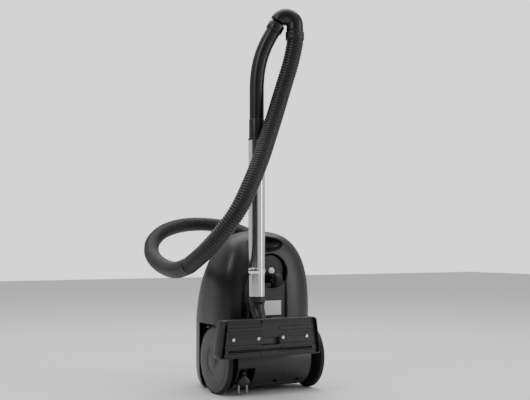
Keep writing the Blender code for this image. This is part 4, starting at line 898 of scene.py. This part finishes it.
class CLEANER_OT_castor(Step, bpy.types.Operator):
    """Castor: turned disc with a flat over the fork, white pivot, roller between two rounded arms"""
    bl_idname = "cleaner.castor"
    bl_label = "Castor"

    def execute(self, context):
        x, z = WELL_AT
        face = WELL_FLOOR_Y - 0.0005
        at = np.array((x, face, z))
        disc = [(0, 0.0047), (0, 0.0320), (0.0048, 0.0335), (0.0066, 0.0322), (0.0062, 0.0260), (0.0074, 0.0240),
                (0.0074, 0.0145), (0.0100, 0.0118), (0.0100, 0.0047)]
        plate = solid("swivel_disc", turned(at, -Y, disc, 96, 0.0007, closed=True))
        roller = middle("castor_roller") - AXLE_LINE
        arms = [solid("fork_arm", block((x + side * 0.0105 - 0.0018, roller[1] - 0.0062, roller[2] - 0.0070),
                                        (x + side * 0.0105 + 0.0018, face - 0.0035, roller[2] + 0.0100), 0.0016))
                for side in (-1, 1)]
        carve(plate, [solid("flat", block((x - 0.05, -0.050, z - 0.050), (x + 0.05, face - 0.0035, z - 0.0235),
                                          0.0008))])
        carve(plate, arms, "UNION")
        carve(plate, [solid("roller_gap", block((x - 0.0085, -0.080, roller[2] - 0.0148),
                                                (x + 0.0085, face + 0.002, roller[2] + 0.0125), 0.0010))])
        place(plate, "black_plastic", "castor_disc")
        pin = [(0.0, 0), (0.0006, 0.0020), (0.0002, 0.0026), (0.0002, 0.0058), (-0.003, 0.0070), (-0.0045, 0.0070),
               (-0.0050, 0.0040), (-0.0190, 0.0040), (-0.0190, 0)]
        place(solid("pivot_cap", turned((x, face - 0.0150, z), -Y, pin, 48, 0.0004)), "white_nylon", "castor_pivot")
        tread = [(-0.0072, 0.0024), (-0.0072, 0.0128), (-0.0040, 0.0135), (0.0040, 0.0135), (0.0072, 0.0128),
                 (0.0072, 0.0024)]
        place(solid("roller", turned(roller, X, tread, 64, 0.0008, closed=True)), "soft_rubber", "castor_roller")
        axle = turned(roller, X, [(-0.0126, 0), (-0.0126, 0.0018), (0.0126, 0.0018), (0.0126, 0)], 24, 0.0004)
        place(solid("roller_pin", axle), "bright_steel", "castor_axle")
        return {"FINISHED"}


class CLEANER_OT_inlet(Step, bpy.types.Operator):
    """Inlet collar, the elbow pushed into it and the cuff on the hose's lower end"""
    bl_idname = "cleaner.inlet"
    bl_label = "Hose inlet"

    def execute(self, context):
        collar = [(-0.045, 0.0175), (-0.045, 0.0205), (0.0010, 0.0205), (0.0010, 0.0262), (0.0040, 0.0262),
                  (0.0060, 0.0245), (0.0060, 0.0175)]
        place(solid("inlet_collar", turned(INLET_AT, INLET_DIR, collar, 80, 0.0008, closed=True)), "black_plastic",
              "inlet_pipe")
        mouth = HOSE_START - HOSE_DIR * 0.026
        out = INLET_AT + INLET_DIR * 0.0065
        bend = bezier(out + INLET_DIR * 0.004, out + INLET_DIR * 0.020, mouth - HOSE_DIR * 0.020,
                      mouth - HOSE_DIR * 0.004, 26)
        path = np.concatenate([[INLET_AT - INLET_DIR * 0.020, out - INLET_DIR * 0.0004, out], bend,
                               [mouth - HOSE_DIR * 0.0008, mouth]])
        radius = np.full(len(path), 0.0195)
        radius[:2], radius[-1] = 0.0171, 0.0189
        elbow = along(path, radius, 0.0145, side=X, sides=56)
        place(solid("inlet_bend", elbow), "black_plastic", "inlet_elbow")
        place(solid("lower_collar", grip_cuff(mouth, HOSE_DIR, 0.0300)), "black_plastic", "lower_cuff")
        return {"FINISHED"}


def grip_cuff(origin, axis, length, radius=0.0212, ribs=28):
    """A cuff with shallow lengthwise ribs: radius = R + 0.35 mm cos(n a) between two plain bands."""
    bore = 0.0189
    lip = 0.0010
    stations = [(0.0003, radius - 0.0008, 0), (0.0003 + lip, radius, 0), (0.0050, radius, 0), (0.0056, radius, 1),
                (length - 0.0056, radius, 1), (length - 0.0050, radius, 0), (length - lip, radius, 0),
                (length, radius - 0.0008, 0), (length, bore, 0), (0.0003, bore, 0)]
    u, v = across(axis)
    turn = np.linspace(0, 2 * np.pi, ribs * 6, endpoint=False)
    ring = np.cos(turn)[:, None] * u + np.sin(turn)[:, None] * v
    wave = 0.00035 * (np.cos(ribs * turn) - 1)
    rows = [np.asarray(origin) + unit(axis) * s + ring * (r + ribbed * wave)[:, None] for s, r, ribbed in stations]
    return skin(np.stack(rows), close_rows=True)


class CLEANER_OT_controls(Step, bpy.types.Operator):
    """Push buttons with dished tops, the suction knob with grip flutes, the grille and the latch"""
    bl_idname = "cleaner.controls"
    bl_label = "Controls"

    def execute(self, context):
        for name, (x, z) in BUTTONS.items():
            crown = high(name)[1] - AXLE_LINE[1] - 0.0050
            stem = [(crown - 0.012, 0), (crown - 0.012, 0.0138), (crown + 0.0046, 0.0136), (crown + 0.0040, 0.0100),
                    (crown + 0.0034, 0)]
            place(solid(name + "_cap", turned((x, 0, z), Y, stem, 72, 0.0012)), "button_plastic", name)
        crown = CASE_MID_Y + CASE_HIGH
        knob = fillet([(crown - 0.008, 0), (crown - 0.008, 0.0040), (crown + 0.0006, 0.0040),
                       (crown + 0.0006, 0.0152),
                       (crown + 0.0110, 0.0140), (crown + 0.0120, 0)], 0.0009)
        turn = np.linspace(0, 2 * np.pi, 120, endpoint=False)
        flute = 0.0006 * (np.cos(20 * turn) - 1) * ease((knob[:, 1:] - 0.0120) / 0.0015)
        radius = knob[:, 1:] + flute
        grid = np.stack([radius * np.cos(turn), knob[:, :1] + 0 * radius, KNOB_Z + radius * np.sin(turn)], axis=-1)
        dial = solid("knob_cap", skin(grid))
        pointer = solid("pointer_cut", block((-0.0009, crown + 0.0110, KNOB_Z + 0.003),
                                             (0.0009, crown + 0.020, KNOB_Z + 0.0135),
                                             0.0004))
        place(carve(dial, [pointer]), "button_plastic", "suction_knob")
        half = np.array((0.015, 0.0060, 0.0070))
        catch = solid("latch_slide", block(LATCH_AT - half, LATCH_AT + half, 0.0018, tilt=LATCH_TILT))
        place(catch, "button_plastic", "lid_latch")
        frame_bar = solid("grille_plate", block((-0.040, crown - 0.0040, 0.050), (0.040, crown - 0.0003, 0.082),
                                                0.0012))
        slots = [solid("slot", block((x - 0.0028, crown - 0.010, 0.0535), (x + 0.0028, crown + 0.005, 0.0785),
                                     0.0024))
                 for x in np.linspace(-0.033, 0.033, 7)]
        place(carve(frame_bar, slots), "black_plastic", "exhaust_grille")
        return {"FINISHED"}


class CLEANER_OT_plug(Step, bpy.types.Operator):
    """Mains plug: rounded sections that narrow to the cord, two pins, and the cord up to the reel"""
    bl_idname = "cleaner.plug"
    bl_label = "Mains plug"

    def execute(self, context):
        stations = fillet([(0.0215, 0.0145, 0.0060), (0.0222, 0.0158, 0.0074), (0.0250, 0.0170, 0.0085),
                           (0.0340, 0.0150, 0.0085), (0.0400, 0.0080, 0.0072), (0.0440, 0.0050, 0.0050),
                           (0.0520, 0.0042, 0.0042)], 0.0015, 4)
        turn = np.linspace(0, 2 * np.pi, 64, endpoint=False)
        c, s = np.cos(turn), np.sin(turn)
        radius = (np.abs(c) ** 3.2 + np.abs(s) ** 3.2) ** (-1 / 3.2)
        grid = np.stack([PLUG_AT[0] + stations[:, 1:2] * radius * c, PLUG_AT[1] + stations[:, 2:3] * radius * s,
                         stations[:, :1] + 0 * c], axis=-1)
        body = solid("plug_body", skin(grid, caps=(0, -1)))
        place(body, "black_plastic", "mains_plug")
        pins = []
        for side in (-1, 1):
            pin = [(0.0028, 0), (0.0028, 0.0012), (0.0040, 0.0022), (0.0052, 0.0024), (0.0230, 0.0024), (0.0230, 0)]
            pins.append(turned(PLUG_AT + X * side * PIN_SPACING / 2, Z, pin, 32, 0.0006))
        place(solid("plug_pins", *pins), "pin_brass", body="canister")
        start = PLUG_AT + Z * 0.0523
        bend = bezier(PLUG_AT + Z * 0.062, PLUG_AT + Z * 0.086, (-0.058, -0.0112, 0.084),
                      (-0.058, -0.0112, 0.108), 30)
        lead = solid("plug_lead", along(np.concatenate([[start], bend]), 0.0033, side=X, sides=20))
        place(lead, "wound_cord", "cord_stub")
        return {"FINISHED"}


def side_point(sideways, z):
    """Points of the plane in which the handle bends over."""
    return np.array((TUBE_X, TUBE_Y, 0)) + BEND_DIR * np.asarray(sideways)[..., None] + Z * np.asarray(z)[..., None]


class CLEANER_OT_wand(Step, bpy.types.Operator):
    """Plated tube with a swaged bead, guide bush, sliding inner tube, and the neck with its parking hook"""
    bl_idname = "cleaner.wand"
    bl_label = "Wand"

    def execute(self, context):
        at = (TUBE_X, TUBE_Y, 0)
        swell = np.linspace(np.pi / 2, -np.pi / 2, 15)
        bead = np.stack([BEAD_Z + 0.0060 * np.sin(swell), TUBE_R + 0.0017 * np.cos(swell) ** 1.5], axis=1)
        outside = np.concatenate([[(TUBE_TOP - 0.0020, TUBE_R)], bead, [(TUBE_BOTTOM, TUBE_R)]])
        inside = [(TUBE_BOTTOM, TUBE_R - 0.0009), (TUBE_TOP - 0.0020, TUBE_R - 0.0009)]
        place(solid("plated_outer_tube", turned(at, Z, np.concatenate([outside, inside]), 96, 0.0003, closed=True)),
              "plated_tube", "outer_tube")
        bush = [(TUBE_TOP - 0.0017, 0.0160), (TUBE_TOP - 0.0017, 0.0186), (TUBE_TOP, 0.0186), (TUBE_TOP, 0.0153),
                (TUBE_TOP - 0.030, 0.0153), (TUBE_TOP - 0.030, 0.0160)]
        place(solid("guide_bush", turned(at, Z, bush, 80, 0.0004, closed=True)), "button_plastic", "tube_bush")
        place(solid("plated_inner_tube", pipe(at, Z, 0.262, TUBE_TOP + 0.040, INNER_R - 0.001, INNER_R, 80,
                                              0.0003)),
              "plated_tube", "inner_tube")
        neck = solid("neck_body", turned(at, Z, [(0.250, 0), (0.250, 0.0150), (TUBE_BOTTOM - 0.0003, 0.0158),
                                                 (TUBE_BOTTOM - 0.0003, 0.0184), (0.2050, 0.0186), (0.1985, 0.0186),
                                                 (0.1930, 0.0160), (0.186, 0.0150), (0.186, 0)], 80, 0.0010))
        bend = bezier((TUBE_X, TUBE_Y, 0.200), (TUBE_X, TUBE_Y, 0.176), (TUBE_X, AXLE_AT[1] + 0.008, 0.172),
                      AXLE_AT, 24)
        radii = np.interp(np.linspace(0, 1, 24), (0, 0.33, 0.66, 1), (0.0157, 0.0150, 0.0134, 0.0100))
        more = [solid("neck_bend", along(bend, radii, side=X, sides=56)),
                solid("neck_barrel", turned(AXLE_AT, X, [(-0.0170, 0), (-0.0170, 0.0115), (0.0170, 0.0115),
                                                         (0.0170, 0)],
                                            64, 0.0012)),
                solid("hook_arm", block((TUBE_X - 0.006, -0.070, 0.184), (TUBE_X + 0.006, -0.0500, 0.194), 0.0015)),
                solid("hook_tongue", block((TUBE_X - 0.006, -0.0570, 0.160), (TUBE_X + 0.006, -0.0500, 0.1935),
                                           0.0015))]
        place(carve(neck, more, "UNION"), "black_plastic", "head_neck")
        socket = solid("socket_body", block((TUBE_X - 0.011, -0.0610, 0.1500), (TUBE_X + 0.011, -0.0405, 0.1740),
                                            0.0020))
        slot = solid("socket_cut", block((TUBE_X - 0.0066, -0.0576, 0.140), (TUBE_X + 0.0066, -0.0494, 0.180),
                                         0.0008))
        place(carve(socket, [slot]), "casing_plastic", "park_socket")
        return {"FINISHED"}


class CLEANER_OT_handle(Step, bpy.types.Operator):
    """Bent handle tube with its collar, the smooth elbow that turns down, its cuff, and the two small sliders"""
    bl_idname = "cleaner.handle"
    bl_label = "Handle"

    def execute(self, context):
        bottom = TUBE_TOP + 0.0003
        lift = bezier(side_point(0.0, 0.640), side_point(0.0, 0.700), side_point(0.0150, 0.734),
                      side_point(0.0345, 0.7665), 34)
        collar_dir = unit(BEND_DIR * 0.480 + Z * 0.877)
        start_z = np.array((bottom, bottom + 0.0008, 0.5780, 0.5792, 0.5800, 0.620))
        straight = side_point(np.zeros(6), start_z)
        collar = lift[-1] + collar_dir * np.array((0.0004, 0.0010, 0.0020, 0.0170, 0.0182))[:, None]
        path = np.concatenate([straight, lift, collar])
        outer = np.concatenate([[0.0158, 0.0164, 0.0164, 0.0161, HANDLE_R, HANDLE_R], np.full(len(lift), HANDLE_R),
                                [HANDLE_R, 0.0174, 0.0179, 0.0179, 0.0172]])
        inner = np.concatenate([[0.0153, 0.0153, 0.0153, 0.0142, 0.0130, 0.0130], np.full(len(lift) + 5, 0.0130)])
        bend_side = np.cross(BEND_DIR, Z)
        tube = solid("handle_bend", along(path, outer, inner, side=bend_side, sides=72))
        slots = [solid("air_slot", block((TUBE_X - 0.0042, TUBE_Y + 0.008, 0.606),
                                         (TUBE_X + 0.0042, TUBE_Y + 0.030, 0.634),
                                         0.0010)),
                 solid("lock_slot", block((TUBE_X - 0.0058, TUBE_Y + 0.010, 0.5497),
                                          (TUBE_X + 0.0058, TUBE_Y + 0.030, 0.5683),
                                          0.0010))]
        place(carve(tube, slots), "black_plastic", "handle_tube")
        tail = side_point(0, np.array((TUBE_TOP + 0.001,)))[0]
        flange = turned(tail, Z, [(0, 0.0155), (0, 0.0180), (0.0016, 0.0180), (0.0016, 0.0155)], 72, 0.0005,
                        closed=True)
        place(solid("tail_flange", flange), "button_plastic", body="handle")
        first = math.atan2(0.480, -0.877)
        turn = np.linspace(first, 0, 40)
        arc = side_point(ELBOW_SIDE + ELBOW_RADIUS * np.cos(turn), ELBOW_Z + ELBOW_RADIUS * np.sin(turn))
        spigot = arc[0] - collar_dir * np.array((0.0160, 0.0010, 0.0006))[:, None]
        foot = arc[-1] - Z * np.array((0.0070, 0.0125, 0.0134))[:, None]
        path = np.concatenate([spigot, arc, foot])
        outer = np.concatenate([[0.0126, 0.0126, 0.0168], np.interp(turn, (0, first * 0.94, first),
                                                                    (0.0180, 0.0180, 0.0176))
                                , [0.0180, 0.0183, 0.0176]])
        inner = np.concatenate([[0.0105] * 3, np.full(len(arc), 0.0140), [0.0150] * 3])
        elbow = solid("elbow_bend", along(path, outer, inner, side=bend_side, sides=72))
        place(elbow, "black_plastic", "elbow_cuff")
        top = arc[-1] - Z * 0.0135
        place(solid("upper_collar", grip_cuff(top, -Z, 0.0170, 0.0200)), "black_plastic", "upper_cuff")
        for node, radius in (("air_slider", 0.0011), ("lock_button", 0.0012)):
            slider = solid(node + "_cap", block(low(node) - AXLE_LINE, high(node) - AXLE_LINE, radius))
            place(slider, "button_plastic", node)
        return {"FINISHED"}


def head_outline(inset, corner_steps=7):
    """The floor head's trapezium with rounded corners, as (x, z)."""
    corners = np.array(((HEAD_X - HEAD_HALF_BOTTOM + inset, HEAD_BOTTOM + inset),
                        (HEAD_X + HEAD_HALF_BOTTOM - inset, HEAD_BOTTOM + inset),
                        (HEAD_X + HEAD_HALF_TOP - inset, HEAD_TOP - inset),
                        (HEAD_X - HEAD_HALF_TOP + inset, HEAD_TOP - inset)))
    return fillet(corners, max(0.0085 - inset * 0.6, 0.002), corner_steps, closed=True)


class CLEANER_OT_head(Step, bpy.types.Operator):
    """Floor head: a loft of rounded outlines for the shell, a sole whose height is read off rib profiles, screws,
    axle, pedal and a brush of separate tufts"""
    bl_idname = "cleaner.head"
    bl_label = "Floor head"

    def execute(self, context):
        shell_rows = [(0.0028, SOLE_Y + 0.0075), (0.0028, SOLE_Y + 0.0010), (0.0024, SOLE_Y + 0.0002),
                      (0.0016, SOLE_Y),
                      (0.0008, SOLE_Y + 0.0002), (0.0, SOLE_Y + 0.0014), (0.0, HEAD_BACK_Y - 0.0085),
                      (0.0004, HEAD_BACK_Y - 0.0060), (0.0018, HEAD_BACK_Y - 0.0030), (0.0040,
                                                                                       HEAD_BACK_Y - 0.0010),
                      (0.0075, HEAD_BACK_Y), (0.0140, HEAD_BACK_Y)]
        grid = np.stack([np.insert(head_outline(inset), 1, y, axis=1) for inset, y in shell_rows])
        shell = solid("head_housing", skin(grid, caps=(0, -1)))
        tools = [solid("neck_notch", block((TUBE_X - 0.0190, -0.1110, 0.130), (TUBE_X + 0.0190, -0.080, 0.190),
                                           0.0020)),
                 solid("pedal_opening", block((TUBE_X - 0.0283, -0.110, 0.0977),
                                              (TUBE_X + 0.0283, -0.080, 0.1253), 0.0012))]
        tools.append(solid("mouth_way", block((MOUTH_X[0] - 0.0020, SOLE_Y - 0.005, MOUTH_Z[0] - 0.0020),
                                              (MOUTH_X[1] + 0.0020, SOLE_Y + 0.0225, MOUTH_Z[1] + 0.0020), 0.0008)))
        tools.append(solid("brush_way", block((HEAD_X - 0.1010, SOLE_Y - 0.005, 0.0995),
                                              (HEAD_X + 0.1010, SOLE_Y + 0.0160, 0.1065), 0.0008)))
        place(carve(shell, tools, sharp=40), "black_plastic", "head_shell")
        self.make_sole()
        for i, x in enumerate(SCREW_X):
            head = [(-0.0006, 0), (-0.0004, 0.0014), (0.0002, 0.0032), (0.0012, 0.0037), (0.0022, 0.0037),
                    (0.0022, 0)]
            screw = solid("screw_head_%d" % (i + 1), turned((x, SOLE_Y + 0.0006, SCREW_Z), Y, head, 40, 0.0004))
            cross = [solid("cross", block((x - a, SOLE_Y - 0.003, SCREW_Z - b),
                                          (x + a, SOLE_Y + 0.0011, SCREW_Z + b),
                                          0.0001)) for a, b in ((0.0019, 0.00035), (0.00035, 0.0019))]
            place(carve(screw, cross), "bright_steel", "sole_screw_%d" % (i + 1))
        axle = turned(AXLE_AT, X, [(-0.0230, 0), (-0.0230, 0.0030), (0.0230, 0.0030), (0.0230, 0)], 40, 0.0005)
        place(solid("neck_axle", axle), "bright_steel", "head_axle")
        pedal = block(low("head_pedal") - AXLE_LINE, high("head_pedal") - AXLE_LINE, 0.0018)
        ridges = [block((TUBE_X - 0.022, HEAD_BACK_Y + 0.0012, z - 0.0007),
                        (TUBE_X + 0.022, HEAD_BACK_Y + 0.0030, z + 0.0007),
                        0.0006) for z in np.linspace(0.103, 0.120, 5)]
        place(solid("pedal_cap", pedal, *ridges), "button_plastic", "head_pedal")
        self.make_brush(context.scene.cleaner_shape.bristle_width)
        return {"FINISHED"}

    def make_sole(self):
        """Depth behind the sole's front plane over (x, z): rib steps by z at the sides, plain in the middle, with
        the mouth, the brush slot and the screw seats let in by smooth steps."""
        ribs = np.array(((0.0918, 0.0), (0.0937, 0.0), (0.0943, 0.0012), (0.0975, 0.0012), (0.0984, 0.0),
                         (0.1080, 0.0),
                         (0.1092, 0.0018), (0.1150, 0.0018), (0.1160, 0.0005), (0.1212, 0.0005), (0.1222, 0.0014),
                         (0.1290, 0.0014), (0.1300, 0.0004), (0.1345, 0.0004), (0.1357, 0.0020), (0.1415, 0.0020),
                         (0.1424, 0.0006), (0.1490, 0.0006), (0.1503, 0.0022), (0.1560, 0.0022), (0.1568, 0.0032),
                         (0.1626, 0.0032)))
        half = 0.1068
        x = np.linspace(HEAD_X - half, HEAD_X + half, 250)[None, :]
        z = np.linspace(0.0918, 0.1632, 112)[:, None]
        sides = 1.5 * np.interp(z, ribs[:, 0], ribs[:, 1]) + 0 * x
        bay = ease(np.minimum(x - MOUTH_X[0], MOUTH_X[1] - x) / 0.0014 + 0.5)
        depth = sides * (1 - bay) + 0.0023 * bay * ease((z - 0.0985) / 0.001) * ease((0.1605 - z) / 0.001)

        def let_in(depth, inside, width, floor):
            return np.maximum(depth, floor * ease(inside / width + 0.5))
        slot = np.minimum(np.minimum(x - HEAD_X + 0.098, HEAD_X + 0.098 - x), np.minimum(z - 0.1010, 0.1050 - z))
        depth = let_in(depth, slot, 0.0010, 0.0120)
        mouth = np.minimum(np.minimum(x - MOUTH_X[0], MOUTH_X[1] - x), np.minimum(z - MOUTH_Z[0], MOUTH_Z[1] - z))
        depth = let_in(depth, mouth, 0.0012, 0.0190)
        for at in SCREW_X:
            depth = let_in(depth, 0.0041 - np.hypot(x - at, z - SCREW_Z), 0.0010, 0.0028)
        slope = (HEAD_HALF_BOTTOM - HEAD_HALF_TOP) / (HEAD_TOP - HEAD_BOTTOM)
        lean = 1 - slope * (z - z[0]) / half
        grid = np.stack([HEAD_X + (x - HEAD_X) * lean + 0 * z, SOLE_Y + 0.0004 + depth, z + 0 * x], axis=-1)
        front = solid("sole_face", skin(grid, close_cols=False), outward=False)
        if front.data.polygons[0].normal.y > 0:
            front.data.flip_normals()
        place(walled(front, 0.0016, 0.0), "sole_plastic", "sole_plate")

    def make_brush(self, width):
        """Tufts in a row: each is a small four-sided prism that narrows to its tip, with its own lean."""
        count = int(0.190 / (width * 1.35))
        at = np.linspace(HEAD_X - 0.0945, HEAD_X + 0.0945, count)
        wobble = np.random.default_rng(7).normal(0, 0.00025, (count, 2))
        corner = np.array(((-1, -1), (1, -1), (1, 1), (-1, 1))) * 0.5
        back, tip = -0.1145, -0.1265
        root = np.stack([at[:, None] + corner[None, :, 0] * width, np.full((count, 4), back),
                         0.1030 + corner[None, :, 1] * 0.0026 + 0 * at[:, None]], axis=-1)
        end = np.stack([at[:, None] + wobble[:, :1] + corner[None, :, 0] * width * 0.7, np.full((count, 4), tip),
                        0.1030 + wobble[:, 1:] + corner[None, :, 1] * 0.0020], axis=-1)
        points = np.concatenate([root, end], axis=1).reshape(-1, 3)
        cell = np.array((0, 1, 5, 4, 1, 2, 6, 5, 2, 3, 7, 6, 3, 0, 4, 7, 3, 2, 1, 0, 4, 5, 6, 7))
        corners = (cell[None] + 8 * np.arange(count)[:, None]).ravel()
        tufts = (points, corners, np.full(count * 6, 4))
        place(solid("brush_tufts", tufts), "bristle_fibre", body="brush")
        backing = solid("brush_backing", block((HEAD_X - 0.100, -0.1160, 0.1010),
                                               (HEAD_X + 0.100, -0.1135, 0.1290), 0.0008))
        place(backing, "button_plastic", "brush_strips")


class CLEANER_OT_inside(Step, bpy.types.Operator):
    """Dust bag, its holder, seals, filter, motor, fan and cord reel"""
    bl_idname = "cleaner.inside"
    bl_label = "Inside"

    def execute(self, context):
        lo, hi = low("dust_bag") - AXLE_LINE, high("dust_bag") - AXLE_LINE
        half = (hi - lo) / 2
        rise = np.linspace(-np.pi / 2, np.pi / 2, 70)[:, None]
        turn = np.linspace(0, 2 * np.pi, 140, endpoint=False)[None]

        def power(value, n):
            return np.sign(value) * np.abs(value) ** n
        crease = 1 - 0.020 * np.abs(np.sin(5 * turn + 3 * rise)) * np.cos(rise) ** 2 - 0.012 * np.cos(9 * rise + turn)
        grid = np.stack([half[0] * power(np.cos(rise), 0.45) * power(np.cos(turn), 0.5) * crease,
                         half[1] * power(np.cos(rise), 0.45) * power(np.sin(turn), 0.5) * crease,
                         half[2] * power(np.sin(rise), 0.6) * (1 + 0 * turn) * 0.98], axis=-1)
        place(solid("bag_sack", skin(grid + (lo + hi) / 2)), "bag_paper", "dust_bag")
        finishes = {"bag_holder": "button_plastic", "lid_seal": "soft_rubber", "motor_seal": "soft_rubber",
                    "motor_filter": "filter_felt", "motor": "motor_steel", "motor_fan": "motor_steel",
                    "cord_reel": "button_plastic", "cord_winding": "wound_cord", "reel_axle": "bright_steel",
                    "rating_label": "label_film"}
        for node, finish in finishes.items():
            materials = NODES[node].data.materials
            materials.clear()
            materials.append(bpy.data.materials[finish])
        return {"FINISHED"}


OPERATORS = (CLEANER_OT_stage, CLEANER_OT_hose, CLEANER_OT_casing, CLEANER_OT_drum, CLEANER_OT_wheels,
             CLEANER_OT_castor, CLEANER_OT_inlet, CLEANER_OT_controls, CLEANER_OT_plug, CLEANER_OT_wand,
             CLEANER_OT_handle, CLEANER_OT_head, CLEANER_OT_inside)


class CLEANER_PT_panel(bpy.types.Panel):
    """Sizes, colours and the steps in order"""
    bl_idname = "CLEANER_PT_panel"
    bl_label = "Canister vacuum cleaner"
    bl_space_type = "VIEW_3D"
    bl_region_type = "UI"
    bl_category = "Cleaner"

    def draw(self, context):
        for settings in (context.scene.cleaner_shape, context.scene.cleaner_colours):
            box = self.layout.box()
            for prop in settings.bl_rna.properties:
                if prop.identifier not in {"rna_type", "name"}:
                    box.prop(settings, prop.identifier)
        for operator in OPERATORS:
            self.layout.operator(operator.bl_idname)


CLASSES = (CleanerShape, CleanerColours, *OPERATORS, CLEANER_PT_panel)


def register():
    for cls in CLASSES:
        bpy.utils.register_class(cls)
    bpy.types.Scene.cleaner_shape = bpy.props.PointerProperty(type=CleanerShape)
    bpy.types.Scene.cleaner_colours = bpy.props.PointerProperty(type=CleanerColours)


def unregister():
    del bpy.types.Scene.cleaner_colours
    del bpy.types.Scene.cleaner_shape
    for cls in reversed(CLASSES):
        bpy.utils.unregister_class(cls)


def main():
    """Build everything in order."""
    register()
    build_groups()
    build_finishes()
    for operator in OPERATORS:
        group, name = operator.bl_idname.split(".")
        getattr(getattr(bpy.ops, group), name)()


if __name__ == "__main__":
    main()
